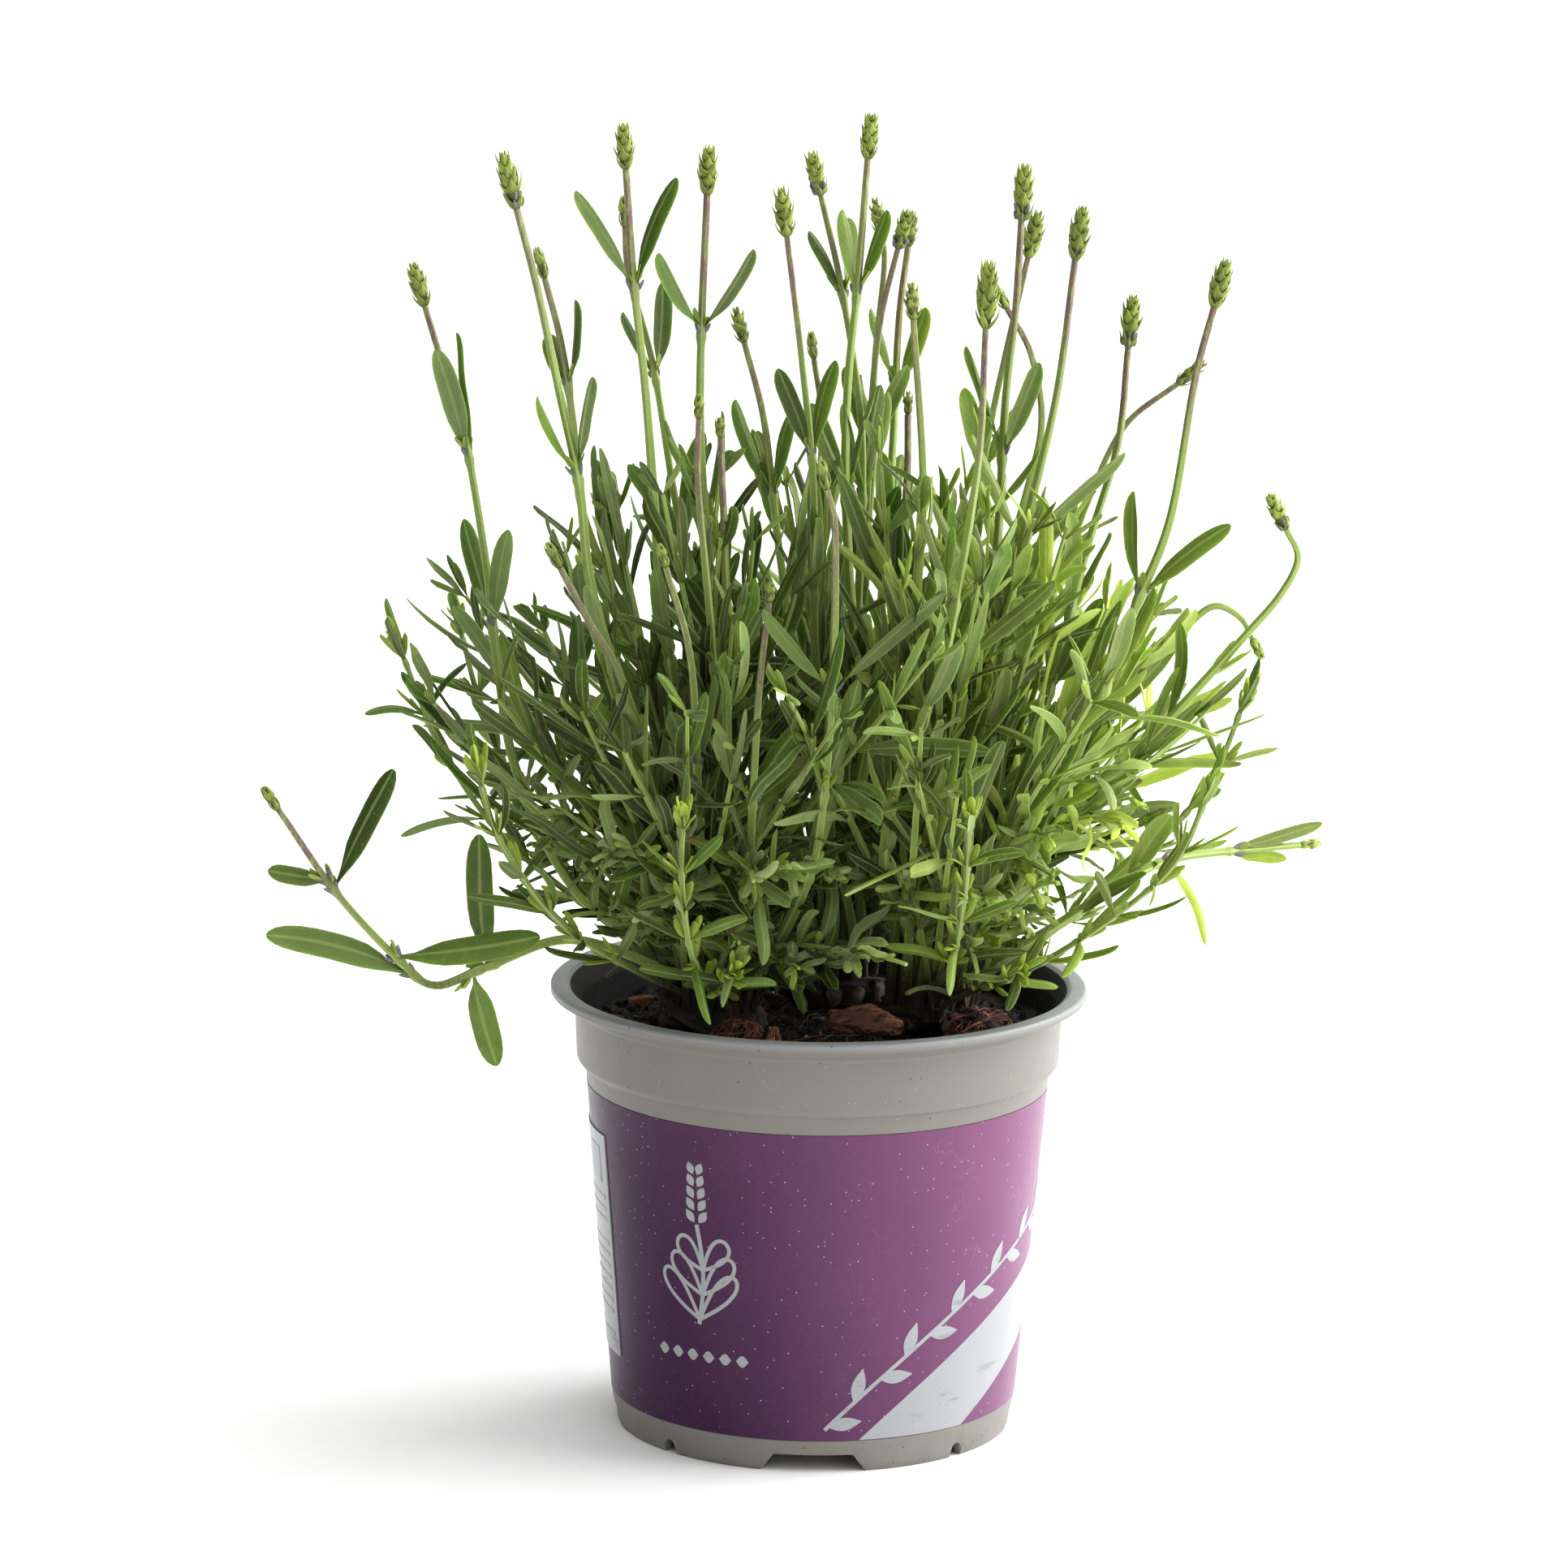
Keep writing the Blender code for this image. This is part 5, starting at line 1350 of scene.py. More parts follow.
@dataclass(frozen=True)
class BladeForm:
    """How a blade is made: its outline, its section and how finely."""

    outline: Outline
    stations: int
    ring: int
    thick: float = 0.28
    roll: float = -0.45
    groove: float = 0.16

    def half_width(self, s: Array) -> Array:
        """Half width as a share, at a share s of the length.

        A leaf widens from a narrow base to its middle and ends in a blunt tip, as
        (1 - u^3)^0.5 of the share u of its outer two fifths. A bract is broad near its base and runs
        to a point. A calyx is a slim tube with a round mouth.
        """
        if self.outline is Outline.LEAF:
            tip = (1.0 - np.clip((s - 0.60) / 0.40, 0.0, 1.0) ** 3) ** 0.5
            return np.maximum((0.28 + 0.72 * ease(s, -0.05, 0.42)) * tip, 0.12)
        if self.outline is Outline.BRACT:
            belly = 0.62 + 0.38 * np.sin(np.pi * np.clip(s / 0.62, 0, 1))
            return np.maximum(belly * (1.0 - s**1.8) ** 0.95, 0.03)
        return np.maximum(0.75 * np.sin(np.pi * np.clip(0.22 + 0.72 * s, 0, 1)) ** 0.6, 0.08)

    def grid(self, blades: Blades) -> Array:
        """Grids of the blades, (blades, stations, ring, 3).

        The midrib leaves the stalk at the spread angle and turns by the bend on its way, so that its
        heading is axis cos(p) + out sin(p) with p = spread + bend s. Its points are the running sum
        of headings. Round it goes a flat loop (w cos a, t sin a), whose margins roll by roll times
        cos(a)^2 and whose upper middle is pressed in as a groove.
        """
        s = 0.5 - 0.5 * np.cos(np.linspace(0.0, math.pi, self.stations))

        def heading(at: Array) -> tuple[Array, Array]:
            """The midrib's direction and the direction of its upper face, at shares of its length."""
            pitch = (blades.spread[:, None] + blades.bend[:, None] * at)[..., None]
            yaw = (blades.sway[:, None] * (at + 0.5 * np.sin(7.0 * at)))[..., None]
            beside = np.cross(blades.axis, blades.out)[:, None]
            out = blades.out[:, None] * np.cos(yaw) + beside * np.sin(yaw)
            axis = blades.axis[:, None]
            return (axis * np.cos(pitch) + out * np.sin(pitch),
                    axis * np.sin(pitch) - out * np.cos(pitch))

        steps = heading((s[1:] + s[:-1]) / 2)[0] * (np.diff(s) * blades.length[:, None])[..., None]
        start = blades.base[:, None]
        spine = np.concatenate([start, start + np.cumsum(steps, axis=1)], axis=1)
        ahead, up = heading(s)
        aside = np.cross(up, ahead)
        roll = (blades.twist[:, None] * (0.7 * ease(s, 0.0, 0.3) + 0.3 * s))[..., None]
        cos, sin = np.cos(roll), np.sin(roll)
        aside, up = aside * cos + up * sin, up * cos - aside * sin
        x, y = np.cos(circle(self.ring)), np.sin(circle(self.ring))
        wide = blades.width[:, None] / 2 * self.half_width(s)
        thick = self.thick * (0.45 + 0.55 * np.sin(np.pi * np.clip(s * 0.9 + 0.1, 0, 1)))
        lift = y * thick[:, None] * np.sqrt(np.maximum(1 - 0.6 * x * x, 0.1))
        lift = lift[None] + self.roll * x * x * wide[..., None]
        lift -= self.groove * (np.abs(x) < 0.2) * (y > 0) * np.minimum(wide, 1.0)[..., None]
        return (spine[:, :, None] + aside[:, :, None] * (x * wide[..., None])[..., None]
                + up[:, :, None] * lift[..., None])

    def add_to(self, shell: Shell, blades: Blades, finish: int, keeps=None) -> None:
        """Adds the blades to a shell: all of them, or those that a rule keeps."""
        grid = self.grid(blades)
        kept = keeps(grid) if keeps else np.full(len(grid), True)
        shell.add(grid[kept], blades.tint[kept][:, None, None], finish)


FINE_LEAF = BladeForm(Outline.LEAF, 14, 12)
MID_LEAF = BladeForm(Outline.LEAF, 10, 8)
SMALL_LEAF = BladeForm(Outline.LEAF, 8, 8)
PLAIN_LEAF = BladeForm(Outline.LEAF, 7, 6, 0.24)
BRACT_FORM = BladeForm(Outline.BRACT, 8, 10, 0.16, 0.45, -0.05)
CALYX_FORM = BladeForm(Outline.CALYX, 6, 6, 0.55, 0.0, 0.0)


@dataclass
class Bounds:
    """The space a blade may take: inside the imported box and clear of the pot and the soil."""

    pot: NurseryPot
    soil_top: float
    skirt: float = 7.0
    front_lift: float = 0.25
    flare: float = 1.1
    dip: float = 19.0
    dip_at: float = -3.0
    dip_width: float = 14.0

    def keeps(self, grid: Array) -> Array:
        """Which blades lie in the box, outside the pot's wall and above the soil."""
        low = np.array(cad_low) / MM + 0.2
        high = np.array(cad_high) / MM - 0.2
        boxed = np.all((grid > low) & (grid < high), axis=(1, 2, 3))
        radius = np.hypot(grid[..., 0], grid[..., 1])
        height = grid[..., 2]
        near = (radius < self.pot.rim + 0.6) & (radius > 50.0)
        sunk = np.any(near & (height < self.pot.height + 0.4), axis=(1, 2))
        buried = np.any((radius <= 50.0) & (height < self.soil_top + 0.2), axis=(1, 2))
        return boxed & ~sunk & ~buried

    def open_below(self, grid: Array) -> Array:
        """Which blades stay above the bush's lower edge, where soil shows for watering.

        The edge is a skirt's height over the rim. It rises towards the front by a share of the
        distance, and outside the rim by more, and dips near the middle of the front.
        """
        x, y, z = grid[..., 0], grid[..., 1], grid[..., 2]
        beyond = np.maximum(np.hypot(x, y) - 60.0, 0.0)
        front = np.maximum(-y, 0.0) * self.front_lift
        dip = self.dip * np.exp(-(((x - self.dip_at) / self.dip_width) ** 2))
        edge = self.pot.height + self.skirt + front + self.flare * beyond - dip
        return np.all(z > edge, axis=(1, 2))


# ---------------------------------------------------------------- stems


@dataclass
class Pair:
    """Two opposite leaves at a share of the stalk's length, or one where a length is zero."""

    at: float
    turn: float
    lengths: tuple
    spread: float = 30.0
    width: float = 4.4
    bend: float = 0.0
    rise: float = 0.0
    twist: float = 0.0


@dataclass
class Stem:
    """A stalk from its crown through points (x, y, height above the soil), tip last."""

    route: list
    spike: float
    pairs: list = field(default_factory=list)
    # Painted light: pale brightens and yellows the rightmost stems, towards the key light.
    pale: float = 0.0


@dataclass
class Spike:
    """A young spike of overlapping bracts, or a closed bud where it is short."""

    tip: Array
    axis: Array
    side: Array
    length: float
    seed: int
    # Painted light: pale brightens the bracts of the rightmost spikes.
    pale: float = 0.0
    open_from: float = 9.0

    def outward(self, angle: Array) -> Array:
        """Directions away from the axis at angles about it."""
        across = np.cross(self.axis, self.side)
        return np.cos(angle)[..., None] * self.side + np.sin(angle)[..., None] * across

    def build(self, shell: Shell) -> None:
        """Adds the core, the whorls of bracts and the calyxes between them.

        Each whorl is four bracts, turned an eighth from the last. The spike's radius at a share h is
        its greatest radius times sin(pi (0.18 + 0.82 h))^0.8. On one open spike in three the lowest
        whorl stands apart and shows purple calyxes.
        """
        rng = np.random.default_rng(self.seed)
        radius, whorls, apart, reach, broad, curl = 1.75, 3, 0.0, 0.64, 1.6, 1.9
        if self.length >= self.open_from:
            radius = min(3.15, 1.15 + 0.17 * self.length)
            whorls = max(4, round(self.length / 2.0))
            apart = 0.0 if self.seed % 3 else 0.12
            reach, broad, curl = 0.35, 1.22, 0.85
        share = np.linspace(0.0, 0.80, whorls) ** 0.95
        share[1:] = np.maximum(share[1:], apart + share[1:] * (1 - apart / 0.8))
        angle = circle(4) + (np.arange(whorls) * TURN / 8)[:, None]
        out = self.outward(angle + rng.normal(0.0, 0.10, angle.shape))
        swell = np.sin(np.pi * (0.18 + 0.82 * share)) ** 0.8
        base = (self.tip + self.axis * (share * self.length)[:, None, None]
                + out * (0.42 * radius * swell)[:, None, None])
        count = whorls * 4
        long = np.repeat(reach * self.length * (1.0 - 0.20 * share), 4)
        long = long * rng.uniform(0.85, 1.1, count)
        long = np.minimum(long, (1.0 - np.repeat(share, 4)) * self.length * 0.995)
        wide = np.repeat(radius * (broad * swell**1.4 + 0.08), 4) * rng.uniform(0.92, 1.08, count)
        spread = np.radians(np.repeat(33.0 * (1 - share) + 9.0, 4) + rng.normal(0, 4, count))
        bend = -spread * np.repeat(curl + 0.6 * share**2, 4)
        # Painted light: the bracts' tone rises on the pale rightmost spikes.
        self.add_blades(shell, BRACT_FORM, base.reshape(-1, 3), out.reshape(-1, 3), long, wide,
                        spread, bend, rng.uniform(0.2, 1.1, count) + 0.9 * self.pale, 0.0 * wide)
        t = np.linspace(0.0, 1.0, 10)
        core = self.tip + self.axis * (t * 0.9 * self.length)[:, None]
        fat = 0.55 * radius * np.sin(np.pi * (0.12 + 0.86 * t)) ** 0.8
        if apart:
            fat = fat * (1.0 - 0.55 * np.exp(-(((t - 0.14) / 0.06) ** 2)))
        # Painted shade: the core's depth darkens it between the bracts.
        shell.add(sweep(core[None], fat[None], 8), (0.3, 0.05, 0.45), BRACT)
        if apart:
            self.add_calyxes(shell, radius, apart, rng)

    def add_calyxes(self, shell: Shell, radius: float, apart: float, rng: Random) -> None:
        """Adds a ring of calyxes in the lowest whorl and a few between the next bracts."""
        count = 8
        out = self.outward((np.arange(count) + 0.5) * TURN / count + rng.normal(0.0, 0.15, count))
        at = np.where(np.arange(count) % 2 == 0, 0.03, 0.09 + apart * 0.5)
        base = self.tip + self.axis * (at * self.length)[:, None] + out * 0.40 * radius
        long = rng.uniform(0.13, 0.19, count) * self.length
        spread = np.radians(rng.uniform(20.0, 38.0, count))
        ripe = rng.uniform(0.55, 1.0, count)
        self.add_blades(shell, CALYX_FORM, base, out, long, np.full(count, 1.15), spread,
                        -0.6 * spread, np.full(count, 0.6), ripe)

    def add_blades(self, shell: Shell, form: BladeForm, base: Array, out: Array, long: Array,
                   wide: Array, spread: Array, bend: Array, tone: Array, ripe: Array) -> None:
        """Adds blades that stand on the spike's axis, with a tone and a share of purple."""
        axes, zero = np.broadcast_to(self.axis, out.shape), 0 * wide
        tint = np.stack([tone, ripe, zero], axis=-1)
        blades = Blades(base, axes, out, long, wide, spread, bend, zero, zero, tint)
        form.add_to(shell, blades, BRACT)


@dataclass
class Plantlet:
    """One stalk with its leaves and its spike, in the place of one packed stem."""

    node: str
    stem: Stem
    soil_top: float
    seed: int
    bounds: Bounds
    half: float = 1.30
    slim: float = 0.68
    leafy_half: float = 0.62
    leafy_slim: float = 0.8
    knuckle: float = 0.28
    leaf_clear: float = 2.5

    def path(self, count: int) -> Array:
        """The stalk's middle line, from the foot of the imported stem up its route."""
        mesh = bpy.data.objects[self.node].data
        points = np.empty(len(mesh.vertices) * 3)
        mesh.vertices.foreach_get("co", points)
        points = points.reshape(-1, 3) / MM
        start = box_of("crown_left")[1][2]
        near = np.abs(points[:, 2] - start) < 0.5
        foot = points[near & (np.hypot(points[:, 0], points[:, 1]) < 60.0)].mean(axis=0)
        route = [np.array([x, y, self.soil_top + h]) for x, y, h in self.stem.route]
        upright = foot + (route[0] - foot) * [0.15, 0.15, 0.4]
        return smooth_path(np.array([foot, upright, *route]), count)

    def youth(self, base: Array) -> float:
        """How yellow a leaf is: painted light, yellower on the bush's lit right side and on its pale
        stems.
        """
        side = float(ease(base[0] + 0.3 * base[1], -20.0, 95.0))
        return 0.06 + 0.50 * side + 0.20 * self.stem.pale

    def leaf_rows(self, path: Array, rng: Random) -> tuple[list, list]:
        """The stem's leaves and the small leaves in their axils.

        Args:
            path: the stalk's middle line.
            rng: random numbers.

        Returns:
            Two lists of blades, long and small.
        """
        past = lengths(path)
        along, _, _ = directions(path[None])
        long, small = [], []
        for pair in self.stem.pairs:
            k = min(int(np.searchsorted(past, pair.at * past[-1])), len(path) - 2)
            axis = along[0, k]
            turn = math.radians(pair.turn)
            wanted = np.array([math.cos(turn), math.sin(turn), pair.rise])
            out = unit(wanted - axis * (wanted @ axis))
            for side, length in zip((1.0, -1.0), pair.lengths):
                if not length:
                    continue
                base = path[k] + axis * 0.9 + out * side * 0.5
                tint = (rng.uniform(0.1, 0.9), self.youth(base) * rng.uniform(0.5, 1.2),
                        rng.uniform(-0.05, 0.25))
                bend = pair.bend if pair.bend else rng.uniform(-16.0, 26.0)
                if not self.stem.spike:
                    bend = rng.uniform(-55.0, 60.0)
                spread = pair.spread - 0.4 * (bend if not pair.bend else 0.0)
                twist = pair.twist or rng.uniform(30.0, 65.0) * rng.choice([-1.0, 1.0])
                long.append(Blades.row(base, axis, out * side, length, pair.width + 0.4, spread,
                                       bend, rng.uniform(-16, 16), twist, tint))
                for lean in (24.0, 42.0):
                    tuft = unit(out * side + 0.8 * np.cross(axis, out) * rng.choice([-1.0, 1.0]))
                    size = rng.uniform(2.5, 6.0) if self.stem.spike else rng.uniform(5.0, 10.0)
                    small.append(Blades.row(base, axis, tuft, size, 1.7, lean * 0.6, 10.0, 0, 20,
                                            (0.7, 0.45, 0.0)))
        return long, small

    def build(self, palette: Palette) -> None:
        """Makes the piece."""
        rng = np.random.default_rng(self.seed)
        path = self.path(110)
        share = np.linspace(0.0, 1.0, len(path))
        left = (1.0 - share) * np.linalg.norm(np.diff(path, axis=0), axis=1).sum()
        half, slim = self.half, self.slim
        if not self.stem.spike:
            half, slim = self.leafy_half * half, self.leafy_slim * slim
        radius = half + (slim - half) * share
        for pair in self.stem.pairs:
            radius = radius + self.knuckle * half * np.exp(-(((share - pair.at) / 0.008) ** 2))
        height = path[:, 2] - self.soil_top
        ripe = (1.0 - ease(left, 8.0, 42.0)) * rng.uniform(0.55, 1.0) * (self.stem.spike > 0)
        # Painted light: on the pale rightmost stems the stalk loses its purple and gets lighter.
        ripe = ripe * (1.0 - self.stem.pale)
        wood = 1.0 - ease(height, 8.0, 26.0)
        tone = rng.uniform(0.3, 0.9) + 0.5 * self.stem.pale - 0.3 * (self.stem.spike == 0)
        tint = np.stack([np.full(len(path), tone), ripe, wood], axis=-1)
        shell = Shell()
        shell.add(sweep(path[None], radius[None] / 0.93, 16, 0.13), tint[None, :, None], STALK)
        long, small = self.leaf_rows(path, rng)
        for rows, form in ((long, FINE_LEAF), (small, SMALL_LEAF)):
            blades = Blades.joined(rows)
            grid = form.grid(blades)
            kept = self.bounds.keeps(grid)
            if not self.stem.spike:
                kept &= np.all(grid[..., 2] > self.bounds.pot.height + self.leaf_clear, axis=(1, 2))
            shell.add(grid[kept], blades.tint[kept][:, None, None], LEAF)
        along, aside, _ = directions(path[None])
        if self.stem.spike:
            self.add_buds(shell, path, rng)
            spike = Spike(path[-1], along[0, -1], aside[0, -1], self.stem.spike, self.seed)
            spike.pale = self.stem.pale
            spike.build(shell)
        else:
            self.add_tip(shell, path[-1], along[0, -1], aside[0, -1])
        slot = "stem_green" if self.stem.spike else "leaf_green"
        place(shell.build(self.node, palette.plant), slot, self.node)

    def add_buds(self, shell: Shell, path: Array, rng: Random) -> None:
        """Adds small purple buds in the axils of the leaf pairs on the upper half of the stalk."""
        along = directions(path[None])[0][0]
        rows = []
        for pair in self.stem.pairs:
            if pair.at < 0.55:
                continue
            k = int(pair.at * (len(path) - 1))
            turn = math.radians(pair.turn)
            out = unit(np.cross(along[k], [-math.sin(turn), math.cos(turn), 0.0]))
            for side in (1.0, -1.0, 1.0, -1.0):
                way = unit(side * out + rng.normal(0.0, 0.45, 3))
                way = unit(way - along[k] * (way @ along[k]))
                rows.append(Blades.row(path[k] + along[k] + way * 0.5, along[k], way,
                                       rng.uniform(2.2, 3.8), 1.1, rng.uniform(16.0, 42.0), -14.0,
                                       tint=(0.6, 0.9, 0.0)))
        if rows:
            blades = Blades.joined(rows)
            shell.add(CALYX_FORM.grid(blades), blades.tint[:, None, None], BRACT)

    def add_tip(self, shell: Shell, tip: Array, axis: Array, side: Array) -> None:
        """Adds the folded young leaves at the end of a shoot."""
        rows = []
        for k in range(4):
            angle = k * TURN / 4 + 0.4
            out = side * math.cos(angle) + np.cross(axis, side) * math.sin(angle)
            tint = (0.8, 0.7, 0.0)
            rows.append(Blades.row(tip - axis, axis, out, 7.0 - k, 1.8, 12.0 + 5 * k, -6.0, tint=tint))
        blades = Blades.joined(rows)
        grid = SMALL_LEAF.grid(blades)
        kept = self.bounds.keeps(grid)
        shell.add(grid[kept], blades.tint[kept][:, None, None], LEAF)


LOWER_PAIR_AT = 0.36


def flower_stems() -> list[Stem]:
    """The flower stems: route, length of the spike and leaf pairs."""
    low_left = [(-40, -26, 20), (-60, -31, 27), (-79, -40, 22), (-91, -42, 18), (-100, -43, 25),
                (-114, -45, 41), (-127, -48, 61)]
    low_left_leaves = [
        Pair(0.47, 90, (31, 0), 106, 6.0, rise=9.0, twist=85),
        Pair(0.50, 90, (24, 0), 84, 6.0, rise=-9.0, twist=-85),
        Pair(0.62, 180, (35, 0), 26, 6.2, rise=-2.0, twist=-75),
        Pair(0.655, 0, (34, 0), 128, 6.2, rise=1.0, twist=75),
        Pair(0.825, 0, (32, 0), 62, 5.0, rise=0.4, twist=70),
        Pair(0.84, 180, (13.5, 0), 46, 4.0, rise=-0.4, twist=-70),
    ]
    low_right = [(44, -8, 18), (59, -8, 28), (75, -8, 39), (86, 0, 42), (102, 10, 42), (117, 17, 42)]
    low_right_leaves = [
        Pair(0.50, 0, (18, 0), 28, 5.4, rise=9.0, twist=70),
        Pair(0.60, 0, (27, 0), 34, 3.4, 62.0, rise=-6.0, twist=72),
        Pair(0.81, 0, (25, 16), 9, 2.8, 4.0, rise=5.0, twist=75),
    ]
    return [
        Stem(low_left, 7, low_left_leaves),
        Stem([(-58, -4, 32), (-73, 0, 60), (-78, 0, 86), (-81, 2, 111), (-86, 2, 141),
              (-90, 2, 154), (-96, 5, 173)], 11, [Pair(0.80, 60, (28, 26), 9, 5.0)]),
        Stem([(-33, -18, 40), (-45, -22, 76), (-55, -22, 110), (-58, -25, 135),
              (-63, -25, 158), (-68, -25, 181), (-73, -25, 200)], 14,
             [Pair(0.45, 100, (26, 24), 30), Pair(0.68, 20, (22, 20), 18)]),
        Stem([(-28, 10, 50), (-44, 16, 88), (-58, 18, 120), (-61, 18, 144),
              (-64, 18, 163), (-68, 20, 178)], 8, [Pair(0.86, -20, (20, 12), 14)]),
        Stem([(-26, -9, 40), (-34, -10, 74), (-39, -10, 110), (-41, -10, 133),
              (-43, -10, 156), (-46, -10, 182), (-48, -10, 208)], 11,
             [Pair(0.42, 95, (28, 28), 28), Pair(0.86, 8, (27, 26), 24)]),
        Stem([(-14, 24, 50), (-26, 25, 84), (-33, 25, 108), (-37, 25, 128),
              (-42, 25, 157), (-48, 25, 179), (-49, 25, 190)], 8,
             [Pair(0.80, -15, (22, 16), 16)]),
        Stem([(-24, -4, 50), (-27, -1, 80), (-28, 0, 112), (-30, 0, 143), (-30, 0, 169),
              (-29, 0, 201)], 12, [Pair(0.83, 0, (22, 20), 32)]),
        Stem([(-22, -18, 50), (-27, -30, 106), (-30, -30, 136), (-30, -30, 152)], 6,
             [Pair(0.60, 30, (20, 20), 30)]),
        Stem([(-10, 0, 50), (-20, -14, 86), (-23, -20, 107), (-24, -20, 127),
              (-25, -20, 146)], 5, [Pair(0.65, 150, (20, 20), 30)]),
        Stem([(-1, 28, 50), (-8, 30, 92), (-12, 30, 119), (-15, 30, 143),
              (-20, 30, 162)], 9, [Pair(0.76, 170, (24, 20), 16)]),
        Stem([(2, 14, 50), (-2, 0, 92), (-3, -5, 133), (-6, -5, 162), (-10, -5, 192)], 12,
             [Pair(0.72, 30, (22, 22), 18)]),
        Stem([(6, 22, 50), (8, 20, 90), (9, 20, 125), (8, 20, 149), (3, 20, 178),
              (-2, 20, 199)], 11, [Pair(0.87, 10, (18, 17), 14)]),
        Stem([(16, 6, 50), (8, 10, 90), (5, 10, 127), (5, 10, 154), (7, 10, 178),
              (9, 10, 209)], 11, [Pair(0.84, -10, (20, 19), 14)]),
        Stem([(7, 38, 50), (10, 50, 100), (12, 55, 132), (12, 55, 154), (14, 55, 178),
              (13, 55, 186)], 9, [Pair(0.70, 60, (20, 20), 25)]),
        Stem([(9, 32, 50), (10, 38, 100), (11, 40, 142), (13, 40, 166), (17, 40, 184)], 10,
             [Pair(0.72, -30, (22, 20), 22)]),
        Stem([(12, 44, 50), (15, 60, 100), (17, 68, 132), (18, 70, 162), (20, 70, 181)], 9,
             [Pair(0.80, 20, (20, 20), 20)]),
        Stem([(26, -8, 40), (24, -12, 72), (22, -15, 103), (23, -15, 135),
              (20, -15, 174)], 9, [Pair(0.57, 15, (26, 26), 28)]),
        Stem([(13, 30, 50), (18, 34, 90), (20, 35, 127), (20, 35, 144)], 6,
             [Pair(0.70, 60, (18, 18), 24)]),
        Stem([(24, 34, 50), (40, 42, 90), (50, 45, 125), (53, 45, 142), (50, 45, 158),
              (44, 45, 169)], 7, [Pair(0.60, 0, (24, 22), 30)]),
        Stem([(20, -14, 30), (15, -32, 44), (17, -42, 66), (27, -50, 96), (31, -50, 117),
              (35, -52, 148), (36, -52, 177)], 16, [Pair(0.65, 25, (24, 22), 30)]),
        Stem([(36, 2, 50), (40, 10, 90), (42, 15, 120), (43, 15, 150), (45, 15, 172),
              (46, 15, 194)], 14, [Pair(0.70, 150, (26, 24), 22)]),
        Stem([(22, 34, 50), (32, 42, 90), (40, 50, 136), (44, 50, 157), (49, 50, 181)], 12,
             [Pair(0.70, 30, (20, 20), 24)]),
        Stem([(34, -8, 40), (40, -10, 72), (43, -10, 95), (46, -10, 117), (54, -10, 154),
              (58, -10, 188)], 13, [Pair(0.62, 0, (32, 28), 36)]),
        Stem([(42, 8, 40), (54, 20, 74), (64, 30, 112), (71, 30, 138), (73, 30, 162)], 13,
             [Pair(0.60, 60, (24, 24), 28)]),
        Stem([(30, 36, 40), (46, 50, 76), (58, 60, 98), (65, 60, 118), (74, 60, 138),
              (87, 60, 149)], 9, [Pair(0.55, 120, (24, 22), 30)]),
        Stem([(40, -10, 24), (50, -20, 46), (64, -25, 82), (73, -25, 107), (81, -25, 129),
              (86, -25, 162), (90, -25, 179)], 12, [Pair(0.62, 10, (26, 24), 28)]),
        Stem([(44, 0, 30), (62, 5, 48), (84, 10, 74), (101, 10, 94), (110, 10, 105),
              (114, 10, 114), (111, 10, 121)], 10, [Pair(0.50, 90, (26, 24), 30)], 0.7),
        Stem([(46, 14, 34), (64, 34, 58), (80, 44, 80), (91, 45, 92), (97, 45, 96),
              (103, 45, 93), (106, 45, 88)], 6, [Pair(0.70, 90, (24, 22), 20)], 1.0),
        Stem([(-10, -26, 26), (-3, -44, 46), (0, -54, 66), (2, -58, 97), (2, -58, 130),
              (0, -58, 140)], 8, [Pair(0.68, 0, (34, 24), 44)]),
        Stem([(1, 32, 50), (-1, 42, 100), (-1, 45, 140), (-3, 45, 156)], 7,
             [Pair(0.70, 45, (20, 20), 22)]),
        Stem([(-33, -18, 36), (-40, -28, 66), (-48, -35, 92), (-55, -35, 104),
              (-62, -35, 117)], 7, [Pair(0.62, 90, (20, 20), 30)]),
        Stem([(-18, -26, 26), (-17, -44, 46), (-16, -54, 72), (-15, -55, 93),
              (-13, -55, 113)], 5, [Pair(0.60, 10, (22, 20), 26)]),
        Stem([(-28, -24, 34), (-29, -38, 60), (-31, -50, 98), (-37, -50, 120)], 6,
             [Pair(0.60, 60, (20, 20), 28)]),
        Stem(low_right, 6, low_right_leaves, 1.0),
    ]


def with_lower_pairs(stem: Stem) -> Stem:
    """Adds up to two pairs low on the stalk where it is bare, turned 90 and 60 degrees from the lowest
    pair.
    """
    first = min(stem.pairs, key=lambda p: p.at)
    if first.at > LOWER_PAIR_AT + 0.12:
        stem.pairs.append(Pair(LOWER_PAIR_AT, first.turn + 90.0, (26, 24), 34))
    if first.at > LOWER_PAIR_AT + 0.20:
        middle = (first.at + LOWER_PAIR_AT) / 2
        stem.pairs.append(Pair(middle, first.turn + 60.0, (27, 25), 26))
    return stem


def leafy(route: list, count: int, length: float, spread: float = 48.0, width: float = 2.3) -> Stem:
    """A shoot without flowers: pairs of leaves along it, each a quarter turn on from the last."""
    pairs = []
    for k in range(count):
        share = k / (count - 1)
        size = length * (0.72 + 0.28 * math.sin(math.pi * min(1.0, 0.25 + share)))
        pairs.append(Pair(0.30 + 0.64 * share, 90.0 * k, (size, 0.94 * size),
                          spread - 14.0 * share, width, 12.0))
    return Stem(route, 0.0, pairs)


